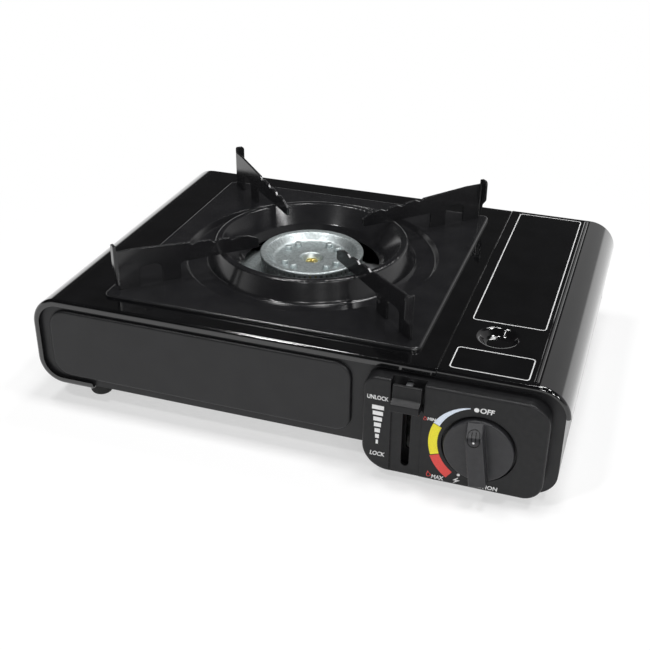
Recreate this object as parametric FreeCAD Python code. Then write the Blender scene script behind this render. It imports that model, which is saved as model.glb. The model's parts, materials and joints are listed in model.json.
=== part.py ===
import FreeCAD, Part
import math
import os

# Butane cassette stove. X runs to the right along the front, Y to the back, Z up from the table.
# All sizes are millimetres. The pieces are modelled about the middle of the steel body
# and moved back at the end, so that the origin is the bottom centre of the whole stove.

# Driving dimensions of the steel body
body_width = 352.0
body_depth = 250.0
body_height = 62.5
foot_height = 16.0
skin = 0.8
top_radius = 20.0
bottom_radius = 18.0
fold_radius = 2.4
rim_width = 4.6
lip_end_x = -136.0
hem_length = 9.0
panel_recess = 2.8
seam_x = 96.2
ledge_width = 8.0

# Feet, and the front panel's raised pad
foot_radius = 7.5
foot_stem_radius = 2.6
foot_stem_height = 2.4
foot_head_radius = 3.6
foot_left_inset = 34.0
foot_right_inset = 27.0
foot_end_inset = 21.0
pad_left_inset = 12.0
pad_right = 45.0
pad_bottom_rise = 5.5
pad_top_drop = 7.5
pad_height = 2.6
pad_radii = [13.0, 13.0, 11.0, 11.0]

# Deck opening and drip tray
tray_size = 212.0
tray_x = -23.6
tray_y = -4.2
tray_corner = 5.0
tray_margin = 13.0
tray_rise = 2.4
tray_sheet = 0.7
basin_radius = 90.0
basin_depth = 4.6
collar_radius = 66.0
collar_height = 12.5
collar_foot_radius = 73.0
mouth_radius = 48.0
mouth_drop = 5.5
ledge_radius = 51.5
tray_lift = 60.0

# Pan supports: radii are measured from the burner's axis, heights from the deck
support_sheet = 1.6
support_inner = 40.5
support_outer = 139.0
support_top = 29.6
support_level = 127.0
support_fall = 0.075
support_tip = 33.5
support_underside = 14.2
support_foot_inner = 97.0
support_arch_inner = 109.5
support_arch_outer = 125.5
support_arch_top = 16.5
support_ear = 6.5
support_ear_height = 15.0
notch_depth = 2.2
notch_positions = (59.5, 73.0, 88.0)
tab_inset = 3.0
support_names = {"pan_support_rear_right": 45, "pan_support_rear_left": 135,
                 "pan_support_front_left": 225, "pan_support_front_right": 315}

# Burner
burner_y = -2.8
cap_radius = 36.6
cap_above_deck = 3.0
dish_depth = 5.4
dish_floor_radius = 27.0
well_radius = 8.0
well_depth = 5.0
head_radius = 35.9
port_count = 60
port_width = 1.3
port_height = 2.6
bump_radius = 2.4
bump_height = 3.2
bump_ring_radius = 21.0
bump_half_angle = 12.5
bump_turn = 60.0
bowl_radius = 32.0
bowl_floor_radius = 17.0
bowl_depth = 26.0
bracket_drop = 12.0
bracket_sheet = 1.0
bracket_disc_radius = 38.5
bracket_tab_x = -82.0
bracket_tab_width = 32.0
mixing_radius = 9.0
mixing_end_x = 60.0
mixing_drop = 15.0
injector_gap = 3.0
injector_length = 13.0
electrode_ring = 43.5
electrode_angle = 75.0
electrode_drop = 20.0

# Cartridge bay, for a nozzle cartridge 67 mm across and 185 mm long
cartridge_radius = 33.5
cartridge_length = 185.0
bay_left_x = 92.0
bay_floor_z = 3.0
side_inset = 3.0
bay_corner = 16.0
saddle_rise = 2.2
saddle_half_width = 23.0
saddle_length = 12.0
cartridge_x = 133.5
spring_rise = 2.7
heat_plate_y = (11.0, 22.0)
heat_plate_z = 31.0

# Lid
lid_gap = 0.3
lid_rim = 2.6
skirt_height = 18.0
lid_rear_flange = 8.0
bead_x = 153.5
bead_radius = 1.75
bead_height = 0.7
dimple_x = 123.7
dimple_y = -76.0
dimple_floor_radius = 8.5
dimple_radius = 12.5
dimple_edge_radius = 15.5
dimple_depth = 4.6
lid_edge_round = 0.6
hinge_inset = 5.0
hinge_drop = 5.5
hinge_pin_radius = 1.5
lid_ear_x = (106.0, 156.0)
ear_sheet = 1.2
bracket_ear_reach = 2.7

# Control panel, knob and lock lever
box_left = 55.3
box_right = 165.8
box_bottom = 5.9
box_top_drop = 7.0
box_projection = 9.0
box_wall = 2.0
knob_x = 126.6
knob_z = 35.1
knob_radius = 21.0
knob_well_radius = 22.5
knob_well_depth = 2.6
knob_disc_height = 5.0
grip_height = 8.8
grip_width = 10.4
off_angle = 8.0
knob_turn = 150.0
lever_x = 82.4
lever_width = 17.4
lever_travel = 41.0
lever_bottom = 54.0
lever_height = 15.5
channel_width = 19.0
channel_depth = 1.2
pocket_width = 20.4
pocket_depth = 6.6
slot_width = 5.0
stem_height = 8.0
stem_rise = 6.0
slot_foot = 11.6
fork_stroke = 5.0

# Regulator, valve and igniter
spindle_radius = 3.0
regulator_front = 107.0
regulator_radius = 13.0
regulator_length = 27.0
inlet_radius = 9.0
inlet_bore = 5.2
regulator_sheet = 1.5
regulator_rise = 33.0
inlet_length = 9.0
housing_radius = 13.5
housing_offset = 15.0
cam_radius = 8.0
cam_lift = 4.0
cam_y = -114.0
cam_width = 5.6
igniter_size = 11.0
igniter_height = 23.0
igniter_gap = 3.5
plunger_radius = 2.5
plunger_gap = 0.4
pipe_radius = 2.5
pipe_rise = 2.2
pipe_wall_gap = 8.0
wire_radius = 1.25
wire_drop = 3.5
wire_wall_gap = 7.0
wire_cross_y = 44.0

# Lock slider's pin and the fork
pin_radius = 2.0
pin_drop = 12.5
pin_y = -110.0
fork_sheet = 1.5
fork_y = -68.0
fork_plate_rear = -88.0
fork_wall_gap = 5.0
fork_arm_height = 11.0
stud_radius = 2.0
stud_y = -99.0

# Fits
running = 0.05
slide_gap = 0.3
loose = 0.5
end_gap = 1.5

# Heights and planes worked out from the driving dimensions
pan_z = foot_height
deck_z = foot_height + body_height
lip_z = pan_z - 2 * skin
half_width = body_width / 2
half_depth = body_depth / 2
front_face = -half_depth
panel_front = front_face + panel_recess
panel_back = panel_front + skin
box_front = front_face - box_projection
side_x = half_width - side_inset
lid_top = deck_z + lid_gap
hinge_y = half_depth - hinge_inset
hinge_z = deck_z - hinge_drop
cartridge_z = bay_floor_z + skin + saddle_rise + cartridge_radius
cap_top = deck_z + cap_above_deck
bracket_top = deck_z - bracket_drop
mixing_z = bracket_top - mixing_drop
burner_x = tray_x
knob_front = box_front - knob_disc_height - grip_height + knob_well_depth
stem_bottom = lever_bottom + stem_rise
centre_shift = -(knob_front + half_depth) / 2
pad_left = -half_width + pad_left_inset
pad_bottom = pan_z + pad_bottom_rise
pad_top = deck_z - pad_top_drop
back_screw_places = ((-half_width + 22.0, deck_z - 16.0), (-half_width + 22.0, pan_z + 14.0),
                     (60.0, deck_z - 16.0), (side_x - 14.0, bay_floor_z + 12.0))
support_feet = ((support_foot_inner, support_arch_inner), (support_arch_outer, support_outer))
injector_x = mixing_end_x + injector_gap
electrode_bottom = bracket_top - electrode_drop
bracket_front = -(regulator_front + regulator_sheet)
bracket_high = knob_z + regulator_rise
inlet_end = -(regulator_front - regulator_length - inlet_length)
pipe_y = -(regulator_front - 14.0)
pipe_z = knob_z + pipe_rise
pipe_side_x = bay_left_x - pipe_wall_gap
housing_x = knob_x + housing_offset
igniter_bottom = knob_z + cam_radius + cam_lift + igniter_gap
igniter_top = igniter_bottom + igniter_height
plunger_tip = knob_z + cam_radius + plunger_gap
wire_z = igniter_top - wire_drop
wire_y = bracket_front - igniter_size / 2
wire_x = bay_left_x + wire_wall_gap
pin_rest_z = deck_z - pin_drop
plate_x = bay_left_x - fork_wall_gap
cam_slot_lean = fork_stroke / lever_travel
fork_plate_y = (panel_back + 5.6, fork_plate_rear)
fork_plate_bottom = pan_z + skin + 3.0
fork_plate_top = pin_rest_z + 6.0
fork_arm_z = (fork_plate_bottom + 1.0, fork_plate_bottom + 1.0 + fork_arm_height)
fork_arm_y = fork_plate_rear - 10.0
fork_window_y = (fork_plate_rear - 12.0 - fork_stroke, fork_plate_rear + 3.0)
stud_places = ((stud_y, fork_plate_top - 4.0), (stud_y, pipe_z + 9.0))


# Plain shapes

def vec(x, y, z):
    return FreeCAD.Vector(x, y, z)


def box(x0, x1, y0, y1, z0, z1):
    return Part.makeBox(x1 - x0, y1 - y0, z1 - z0, vec(x0, y0, z0))


def rod(radius, start, end):
    """Cylinder from one point to another."""
    axis = vec(*end) - vec(*start)
    return Part.makeCylinder(radius, axis.Length, vec(*start), axis)


def ring(outer, inner, start, end):
    return rod(outer, start, end).cut(rod(inner, start, end))


def joined(first, *others):
    """One solid from pieces that touch or overlap."""
    shape = first
    for other in others:
        shape = shape.fuse(other)
    return shape.removeSplitter()


def xz(y):
    """Places a 2-D point in the upright plane at this depth."""
    return lambda u, v: vec(u, y, v)


def yz(x):
    """Places a 2-D point in the upright plane at this distance to the right."""
    return lambda u, v: vec(x, u, v)


def xy(z):
    """Places a 2-D point in the level plane at this height."""
    return lambda u, v: vec(u, v, z)


# Outlines with rounded corners

def unit(u, v):
    length = math.hypot(u, v)
    return u / length, v / length


def corner_arc(before, corner, after, radius):
    """Entry, middle and exit points of the arc that rounds one corner."""
    back = unit(before[0] - corner[0], before[1] - corner[1])
    ahead = unit(after[0] - corner[0], after[1] - corner[1])
    half = math.acos(max(-1.0, min(1.0, back[0] * ahead[0] + back[1] * ahead[1]))) / 2
    reach = radius / math.tan(half)
    inward = unit(back[0] + ahead[0], back[1] + ahead[1])
    depth = radius / math.sin(half) - radius
    entry = (corner[0] + back[0] * reach, corner[1] + back[1] * reach)
    middle = (corner[0] + inward[0] * depth, corner[1] + inward[1] * depth)
    leave = (corner[0] + ahead[0] * reach, corner[1] + ahead[1] * reach)
    return entry, middle, leave


def rounded_edges(corners, radii, place, closed):
    """Edges through the corners, each corner rounded by its own radius (0 keeps it sharp)."""
    count = len(corners)
    stops = []
    for i, (corner, radius) in enumerate(zip(corners, radii)):
        end_point = not closed and i in (0, count - 1)
        if radius == 0 or end_point:
            stops.append((corner, None, corner))
        else:
            stops.append(corner_arc(corners[i - 1], corner, corners[(i + 1) % count], radius))
    edges = []
    for i, (entry, middle, leave) in enumerate(stops):
        if middle is not None:
            edges.append(Part.Arc(place(*entry), place(*middle), place(*leave)).toShape())
        if i + 1 < count or closed:
            following = stops[(i + 1) % count][0]
            if math.hypot(following[0] - leave[0], following[1] - leave[1]) > 1e-6:
                edges.append(Part.makeLine(place(*leave), place(*following)))
    return edges


def outline(corners, radii, place):
    """Flat face inside a closed rounded outline; one radius may serve all corners."""
    if not isinstance(radii, (list, tuple)):
        radii = [radii] * len(corners)
    return Part.Face(Part.Wire(rounded_edges(corners, radii, place, True)))


def rectangle(x0, x1, z0, z1):
    return [(x0, z0), (x0, z1), (x1, z1), (x1, z0)]


def sheet(corners, bends, thickness, place):
    """Face of a bent sheet seen on edge: one skin runs through the corners and the
    other lies the sheet's thickness to the left of the way they go."""
    normals = []
    for (a, b), (c, d) in zip(corners, corners[1:]):
        along = unit(c - a, d - b)
        normals.append((-along[1], along[0]))
    other = []
    for i, (a, b) in enumerate(corners):
        first = normals[max(i - 1, 0)]
        second = normals[min(i, len(normals) - 1)]
        mitre = thickness / (1 + first[0] * second[0] + first[1] * second[1])
        other.append((a + (first[0] + second[0]) * mitre, b + (first[1] + second[1]) * mitre))
    other_bends = []
    for i, bend in enumerate(bends):
        first = normals[max(i - 1, 0)]
        second = normals[min(i, len(normals) - 1)]
        turns_left = first[0] * second[1] - first[1] * second[0] > 0
        other_bends.append(max(bend - thickness, 0.05) if turns_left else bend + thickness)
    near = rounded_edges(corners, bends, place, False)
    far = rounded_edges(other, other_bends, place, False)
    start = Part.makeLine(place(*corners[0]), place(*other[0]))
    end = Part.makeLine(place(*corners[-1]), place(*other[-1]))
    return Part.Face(Part.Wire(Part.__sortEdges__(near + far + [start, end])))


def in_plane(shape, low, high):
    """Edges that lie wholly in the upright plane at one of two depths."""
    picked = []
    for edge in shape.Edges:
        span = edge.BoundBox
        for depth in (low, high):
            if abs(span.YMin - depth) < 1e-5 and abs(span.YMax - depth) < 1e-5:
                picked.append(edge)
    return picked


def pillow(corners, radii, y_back, y_front, edge_radius):
    """Raised pad with rounded corners and a rounded front edge."""
    block = outline(corners, radii, xz(y_back)).extrude(vec(0, y_front - y_back, 0))
    return block.makeFillet(edge_radius, in_plane(block, y_front, y_front))


def stadium(x, z0, z1, width, y0, y1):
    """Upright slot-shaped block with round ends, standing through a front wall."""
    radius = width / 2
    corners = rectangle(x - radius, x + radius, z0, z1)
    return outline(corners, radius - 0.01, xz(y0)).extrude(vec(0, y1 - y0, 0))


def tube_path(points, bend, radius, hollow=0.0):
    """Round tube along straight runs joined by tangent arcs of one radius."""
    nodes = [vec(*point) for point in points]
    edges = []
    start = nodes[0]
    for before, corner, after in zip(nodes, nodes[1:], nodes[2:]):
        back = (before - corner).normalize()
        ahead = (after - corner).normalize()
        half = back.getAngle(ahead) / 2
        reach = bend / math.tan(half)
        inward = (back + ahead).normalize()
        entry = corner + back * reach
        middle = corner + inward * (bend / math.sin(half) - bend)
        leave = corner + ahead * reach
        edges.append(Part.makeLine(start, entry))
        edges.append(Part.Arc(entry, middle, leave).toShape())
        start = leave
    edges.append(Part.makeLine(start, nodes[-1]))
    spine = Part.Wire(edges)
    along = nodes[1] - nodes[0]
    profile = Part.Wire(Part.makeCircle(radius, nodes[0], along))
    solid = spine.makePipeShell([profile], True, False)
    if hollow:
        bore = Part.Wire(Part.makeCircle(hollow, nodes[0], along))
        solid = solid.cut(spine.makePipeShell([bore], True, False))
    return solid


def turned(face, x, y):
    """Solid of revolution about the upright axis through x, y."""
    return face.revolve(vec(x, y, 0), vec(0, 0, 1), 360)


def screw(x, y, z, direction, head_radius, head_height, shank_radius, shank_length):
    """Pan head screw; direction points from the head to the shank's tip."""
    along = vec(*direction)
    seat = vec(x, y, z)
    head = Part.makeCylinder(head_radius, head_height, seat - along * head_height, along)
    rim = [edge for edge in head.Edges if abs(edge.CenterOfMass.sub(seat).dot(along) + head_height) < 1e-6]
    head = head.makeFillet(head_height * 0.45, rim)
    shank = Part.makeCylinder(shank_radius, shank_length, seat, along)
    return joined(head, shank)


# Body outline, shared by the painted wrap, the lid and both end panels

def body_outline(inset, y, left, right, bottom, top):
    corners = rectangle(left + inset, right - inset, bottom + inset, top - inset)
    radii = [bottom_radius - inset, top_radius - inset, top_radius - inset, bottom_radius - inset]
    return outline(corners, radii, xz(y))


def folded_shell(left, top, rim):
    """Thin shell over the whole outline with front and rear edges folded in to a rim."""
    span = (left, half_width, lip_z, top)
    outer = body_outline(0, -half_depth, *span).extrude(vec(0, body_depth, 0))
    outer = outer.makeFillet(fold_radius, in_plane(outer, -half_depth, half_depth))
    inner_front = -half_depth + skin
    inner = body_outline(skin, inner_front, *span).extrude(vec(0, body_depth - 2 * skin, 0))
    inner = inner.makeFillet(fold_radius - skin, in_plane(inner, inner_front, -inner_front))
    opening = body_outline(rim, -half_depth - 1, *span).extrude(vec(0, body_depth + 2, 0))
    return outer.cut(inner).cut(opening)


def foot_places():
    """Foot centres: two tall feet on the left, two short pads under the bay on the right."""
    left_x = -half_width + foot_left_inset
    right_x = half_width - foot_right_inset
    foot_y = half_depth - foot_end_inset
    return {"foot_front_left": (left_x, -foot_y, pan_z),
            "foot_rear_left": (left_x, foot_y, pan_z),
            "foot_front_right": (right_x, -foot_y, bay_floor_z),
            "foot_rear_right": (right_x, foot_y, bay_floor_z)}


def foot_holes():
    """Holes in the pan for the feet's stems."""
    holes = []
    for x, y, seat in foot_places().values():
        holes.append(rod(foot_stem_radius + running, (x, y, seat - 1), (x, y, seat + 2)))
    return holes


def body_shell():
    shell = folded_shell(-half_width, deck_z, rim_width)
    shell = shell.cut(box(seam_x, half_width + 1, -half_depth - 1, half_depth + 1, 0, deck_z + 1))
    shell = shell.cut(box(lip_end_x, seam_x + 1, -half_depth - 1, half_depth + 1, 0, deck_z - 26))
    opening = tray_size / 2 - tray_margin
    corners = rectangle(tray_x - opening, tray_x + opening, tray_y - opening, tray_y + opening)
    shell = shell.cut(outline(corners, 10.0, xy(deck_z - 10)).extrude(vec(0, 0, 20)))
    hem_y = half_depth - skin - fold_radius
    hem = box(lip_end_x - hem_length, lip_end_x, -hem_y, hem_y, lip_z + skin, lip_z + 2 * skin)
    ledge_y = abs(panel_back)
    ledge = box(seam_x - 7.0, seam_x + ledge_width, -ledge_y, ledge_y, deck_z - 2 * skin, deck_z - skin)
    shell = joined(shell, hem, ledge)
    for name, (x, y, seat) in foot_places().items():
        if seat == pan_z:
            shell = shell.cut(rod(foot_radius + loose, (x, y, lip_z - 1), (x, y, pan_z + 0.01)))
    return shell


def base_pan():
    """Floor of the stove with the sunken cartridge bay and its upturned right wall."""
    wall_top = deck_z - skirt_height + 3.0
    corners = [(-half_width + bottom_radius + 1, pan_z + 8), (-half_width + bottom_radius + 1, pan_z),
               (bay_left_x, pan_z), (bay_left_x, bay_floor_z), (side_x, bay_floor_z), (side_x, wall_top)]
    bends = [0, 1.6, 1.0, 4.0, bay_corner, 0]
    length = 2 * abs(panel_back)
    pan = sheet(corners, bends, skin, xz(panel_back)).extrude(vec(0, length, 0))
    pan = pan.cut(box(side_x - 2, side_x + 1, hinge_y - 16, half_depth, wall_top - 3, wall_top + 1))
    for hole in foot_holes():
        pan = pan.cut(hole)
    for i in range(6):
        angle = math.radians(60 * i + 30)
        x = burner_x - 30 + 22 * math.cos(angle)
        y = burner_y + 22 * math.sin(angle)
        pan = pan.cut(rod(4.0, (x, y, pan_z - 1), (x, y, pan_z + 2)))
    return pan


def end_panel_face(y, top_right):
    """Outline shared by the front and back panels; the right end reaches down over the bay."""
    left = -half_width + skin + 0.5
    top = deck_z - skin - 0.5
    bay_edge = bay_left_x - 32.0
    corners = [(left, pan_z), (left, top), (side_x, top), (side_x, bay_floor_z),
               (bay_edge, bay_floor_z), (bay_edge, pan_z)]
    radii = [bottom_radius - 1.6, top_radius - 1.3, top_radius - 1.3, bay_corner, 5.0, 3.0]
    if top_right is not None:
        corners[2:3] = [(seam_x - 3.0, top), (seam_x - 3.0, top_right), (side_x, top_right)]
        radii[2:3] = [1.0, 1.0, 8.0]
    return outline(corners, radii, xz(y))


def screw_places():
    """Screws that hold the control panel to the front panel: x and height."""
    left = box_left + 8.0
    right = box_right - 8.0
    high = deck_z - 15.0
    low = pan_z + 4.0
    return [(left, high), (right, high), (left, low), (right, low)]


def front_panel():
    plate = end_panel_face(panel_front, None).extrude(vec(0, skin, 0))
    corners = rectangle(pad_left, pad_right, pad_bottom, pad_top)
    raised = pillow(corners, pad_radii, panel_front, panel_front - pad_height, 1.9)
    inner_corners = rectangle(pad_left + skin, pad_right - skin, pad_bottom + skin, pad_top - skin)
    inner_radii = [radius - skin for radius in pad_radii]
    hollow = pillow(inner_corners, inner_radii, panel_back, panel_front - pad_height + skin, 1.1)
    panel = joined(plate, raised).cut(hollow)
    panel = panel.cut(rod(spindle_radius + loose, (knob_x, -half_depth, knob_z), (knob_x, 0, knob_z)))
    panel = panel.cut(lever_slot(stem_bottom - lever_travel - end_gap, panel_front - 1, panel_back + 1))
    for x, z in screw_places():
        panel = panel.cut(rod(1.6, (x, panel_front - 1, z), (x, panel_back + 1, z)))
    return panel


def back_panel():
    """Rear wall with cooling slots; it is cut low behind the lid to clear the lid's swing."""
    top_right = hinge_z - 8.0
    plate = end_panel_face(-panel_front, top_right).extrude(vec(0, -skin, 0))
    for row in range(2):
        for i in range(9):
            x = burner_x - 76 + 19 * i
            z = pan_z + 17 + 22 * row
            plate = plate.cut(stadium(x, z, z + 14, 4.0, -panel_back - 1, -panel_front + 1))
    for i in range(4):
        x = cartridge_x - 24 + 16 * i
        plate = plate.cut(stadium(x, cartridge_z - 14, cartridge_z + 10, 4.0, -panel_back - 1,
                                  -panel_front + 1))
    for x, z in back_screw_places:
        plate = plate.cut(rod(1.6, (x, -panel_back - 1, z), (x, -panel_front + 1, z)))
    return plate


def back_screws():
    shapes = []
    for x, z in back_screw_places:
        shapes.append(screw(x, -panel_front, z, (0, -1, 0), 3.0, 1.8, 1.5, 6.0))
    return Part.makeCompound(shapes)


def partition():
    """Heat shield wall between the burner and the cartridge."""
    right = bay_left_x + 1.9
    corners = [(right - 10, pan_z + skin), (right, pan_z + skin), (right, deck_z - 2 * skin)]
    wall_y = abs(panel_back)
    wall = sheet(corners, [0, 1.6, 0], skin, xz(-wall_y)).extrude(vec(0, 2 * wall_y, 0))
    low, high = right - 3, right + 1
    wall = wall.cut(box(low, high, fork_window_y[0], fork_window_y[1], fork_arm_z[0] - 1,
                        fork_arm_z[1] + 1))
    for y, z in stud_places:
        wall = wall.cut(rod(stud_radius, (low, y, z), (high, y, z)))
    wall = wall.cut(rod(pipe_radius + loose, (low, pipe_y, pipe_z), (high, pipe_y, pipe_z)))
    wall = wall.cut(rod(wire_radius + loose, (low, wire_cross_y, wire_z), (high, wire_cross_y, wire_z)))
    slot_z = heat_plate_z
    wall = wall.cut(box(low, high, heat_plate_y[0] - 1, heat_plate_y[1] + 1, slot_z - 0.8, slot_z + 2.3))
    return wall


# Lid over the cartridge bay

def cartridge_lid():
    lid = folded_shell(0, lid_top, lid_rim)
    lid = lid.cut(box(-1, seam_x + lid_gap, -half_depth - 1, half_depth + 1, 0, lid_top + 1))
    lid = lid.cut(box(0, half_width + 1, -half_depth - 1, half_depth + 1, 0, deck_z - skirt_height))
    flange_z = lid_top - lid_rear_flange
    flange_right = half_width - top_radius
    rear = box(lid_ear_x[0], flange_right, half_depth - skin, half_depth, flange_z, lid_top - fold_radius)
    bead_z = lid_top - bead_radius + bead_height
    bead = rod(bead_radius, (bead_x, -half_depth + 5, bead_z), (bead_x, half_depth - 5, bead_z))
    bead = bead.cut(box(bead_x - 5, bead_x + 5, -half_depth, half_depth, 0, lid_top - skin / 2))
    lid = joined(lid, rear, bead)
    lid = lid.makeFillet(lid_edge_round, seam_edge(lid))
    hole_radius = dimple_edge_radius - 0.5
    hole = rod(hole_radius, (dimple_x, dimple_y, lid_top - 1), (dimple_x, dimple_y, lid_top + 1))
    lid = joined(lid.cut(hole), dimple())
    for x in lid_ear_x:
        lid = joined(lid, lid_ear(x))
    for x in lid_ear_x:
        bore = rod(hinge_pin_radius + running, (x - 3, hinge_y, hinge_z), (x + 3, hinge_y, hinge_z))
        lid = lid.cut(bore)
    return lid


def seam_edge(lid):
    """The lid's long top edge beside the body's top."""
    left = seam_x + lid_gap
    picked = []
    for edge in lid.Edges:
        span = edge.BoundBox
        if abs(span.XMax - left) < 1e-5 and abs(span.ZMin - lid_top) < 1e-5 and span.YLength > 10:
            picked.append(edge)
    return picked


def dimple():
    """Pressed finger dish with a flat floor and a rounded rim."""
    floor = lid_top - dimple_depth
    corners = [(0, floor), (dimple_floor_radius, floor), (dimple_radius, lid_top),
               (dimple_edge_radius, lid_top)]
    face = sheet(corners, [0, 3.0, 2.5, 0], -skin, lambda u, v: vec(dimple_x + u, dimple_y, v))
    return turned(face, dimple_x, dimple_y)


def lid_ear(x):
    """Lug under the lid that turns on the hinge pin."""
    reach = 4.0
    under = lid_top - skin
    front = hinge_y - 13.0
    corners = [(front, under + 0.2), (hinge_y + reach, under + 0.2), (hinge_y + reach, hinge_z - reach),
               (hinge_y - reach, hinge_z - reach)]
    return outline(corners, [0, 0, reach - 0.2, reach - 0.2], yz(x)).extrude(vec(ear_sheet, 0, 0))


def hinge_bracket():
    """Plate inside the back panel with two ears that hold the hinge pin."""
    plate_y = -panel_back
    left = lid_ear_x[0] - 6.0
    right = lid_ear_x[1] + 7.0
    bottom = hinge_z - 26.0
    plate = box(left, right, plate_y - ear_sheet, plate_y, bottom, hinge_z - 8.0)
    shape = plate
    reach = bracket_ear_reach
    for x in (lid_ear_x[0] - slide_gap - ear_sheet, lid_ear_x[1] + ear_sheet + slide_gap):
        corners = [(plate_y, bottom), (plate_y, hinge_z - 8.0), (hinge_y + reach, hinge_z - 5.5),
                   (hinge_y + reach, hinge_z + reach), (hinge_y - reach, hinge_z + reach),
                   (hinge_y - 6.0, bottom)]
        ear = outline(corners, [0, 0, 0, reach - 0.1, reach - 0.1, 2.0], yz(x))
        ear = ear.extrude(vec(ear_sheet, 0, 0))
        shape = joined(shape, ear)
    bore = rod(hinge_pin_radius + running, (left - 5, hinge_y, hinge_z), (right + 5, hinge_y, hinge_z))
    return shape.cut(bore)


def hinge_pin():
    left = lid_ear_x[0] - slide_gap - ear_sheet
    right = lid_ear_x[1] + 2 * ear_sheet + slide_gap
    pin = rod(hinge_pin_radius, (left - 1.5, hinge_y, hinge_z), (right + 1.5, hinge_y, hinge_z))
    head = rod(2.6, (left - 1.5, hinge_y, hinge_z), (left - 0.05, hinge_y, hinge_z))
    tail = rod(2.3, (right + 0.05, hinge_y, hinge_z), (right + 1.5, hinge_y, hinge_z))
    return joined(pin, head, tail)


# Cartridge bay furniture

def saddle(y):
    """Cradle that carries the cartridge; its hollow has the cartridge's curve."""
    floor = bay_floor_z + skin
    block = box(cartridge_x - saddle_half_width, cartridge_x + saddle_half_width,
                y - saddle_length / 2, y + saddle_length / 2, floor, floor + 11.0)
    bed = rod(cartridge_radius, (cartridge_x, y - 20, cartridge_z), (cartridge_x, y + 20, cartridge_z))
    return block.cut(bed)


def cartridge_spring():
    """Bent leaf on the back panel that presses the cartridge forward."""
    back = -panel_back
    low = bay_floor_z + skin + spring_rise
    corners = [(back, low), (back, low + 9), (back - 4.0, low + 20), (back, low + 31), (back, low + 40)]
    face = sheet(corners, [0, 3.0, 5.0, 3.0, 0], 0.6, yz(cartridge_x - 8))
    return face.extrude(vec(16, 0, 0))


def heat_plate():
    """Aluminium strip that carries burner heat to the cartridge's flank."""
    thickness = 1.5
    high = bracket_top - bracket_sheet - thickness - 0.02
    tip = cartridge_x - cartridge_radius - 0.4
    corners = [(burner_x + 30, high), (62, high), (80, heat_plate_z), (tip, heat_plate_z),
               (tip, heat_plate_z + 16)]
    face = sheet(corners, [0, 4, 4, 3, 0], thickness, xz(heat_plate_y[0]))
    return face.extrude(vec(0, heat_plate_y[1] - heat_plate_y[0], 0))


# Regulator, valve and igniter behind the control panel

def regulator_body():
    back = -(regulator_front - regulator_length)
    x = (knob_x + cartridge_x) / 2
    z = (knob_z + cartridge_z) / 2
    core = rod(regulator_radius, (x, -regulator_front, z), (x, back, z))
    inlet = rod(inlet_radius, (cartridge_x, back - 2, cartridge_z), (cartridge_x, inlet_end, cartridge_z))
    housing = rod(housing_radius, (housing_x - 7, pipe_y, pipe_z), (housing_x + 3, pipe_y, pipe_z))
    outlet = rod(5.0, (knob_x - 16, pipe_y, pipe_z), (knob_x, pipe_y, pipe_z))
    shape = joined(core, inlet, housing, outlet)
    shape = shape.cut(rod(inlet_bore, (cartridge_x, inlet_end - 10, cartridge_z),
                          (cartridge_x, inlet_end + 1, cartridge_z)))
    shape = shape.cut(rod(spindle_radius + running, (knob_x, -regulator_front - 1, knob_z),
                          (knob_x, -regulator_front + 12, knob_z)))
    shape = shape.cut(rod(pipe_radius + running, (knob_x - 17, pipe_y, pipe_z),
                          (knob_x - 10, pipe_y, pipe_z)))
    shape = shape.cut(rod(housing_radius - 3, (housing_x + 0.5, pipe_y, pipe_z),
                          (housing_x + 4, pipe_y, pipe_z)))
    return shape


def regulator_diaphragm():
    x = housing_x + 3
    return rod(housing_radius - 0.5, (x, pipe_y, pipe_z), (x + 0.8, pipe_y, pipe_z))


def regulator_cap():
    x = housing_x + 3.8
    cap = rod(housing_radius, (x, pipe_y, pipe_z), (x + 8, pipe_y, pipe_z))
    rim = [edge for edge in cap.Edges if abs(edge.BoundBox.XMin - x - 8) < 1e-6]
    cap = cap.makeFillet(3.0, rim)
    cap = cap.cut(rod(housing_radius - 4, (x - 1, pipe_y, pipe_z), (x + 5, pipe_y, pipe_z)))
    return cap.cut(rod(2.0, (x + 4, pipe_y, pipe_z), (x + 9, pipe_y, pipe_z)))


def inlet_seal():
    seat = inlet_end - 4.0
    return ring(inlet_bore - 0.02, 3.0, (cartridge_x, seat - 2.5, cartridge_z),
                (cartridge_x, seat, cartridge_z))


def regulator_bracket():
    """Steel bracket that ties the regulator and the igniter to the front panel and floor."""
    left, right = knob_x - 17.0, knob_x + 17.0
    floor = bay_floor_z + skin
    plate = box(left, right, bracket_front, -regulator_front, floor, bracket_high)
    foot = box(left, right, -regulator_front, -regulator_front + 14, floor, floor + 1.5)
    shape = joined(plate, foot)
    for x0, x1 in ((left, left + 1.5), (right - 1.5, right)):
        cheek = box(x0, x1, panel_back, bracket_front, floor, bracket_high)
        shape = joined(shape, cheek)
    tab = box(right, right + 8, panel_back, panel_back + 1.5, floor + 30, floor + 44)
    shape = joined(shape, tab)
    return shape.cut(rod(spindle_radius + loose, (knob_x, -half_depth, knob_z), (knob_x, 0, knob_z)))


def valve_spindle():
    shaft = rod(spindle_radius, (knob_x, -regulator_front + 11, knob_z), (knob_x, knob_front + 8, knob_z))
    flat = box(knob_x + spindle_radius - 0.8, knob_x + 5, knob_front, box_front + 2, knob_z - 5,
               knob_z + 5)
    return shaft.cut(flat)


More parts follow.
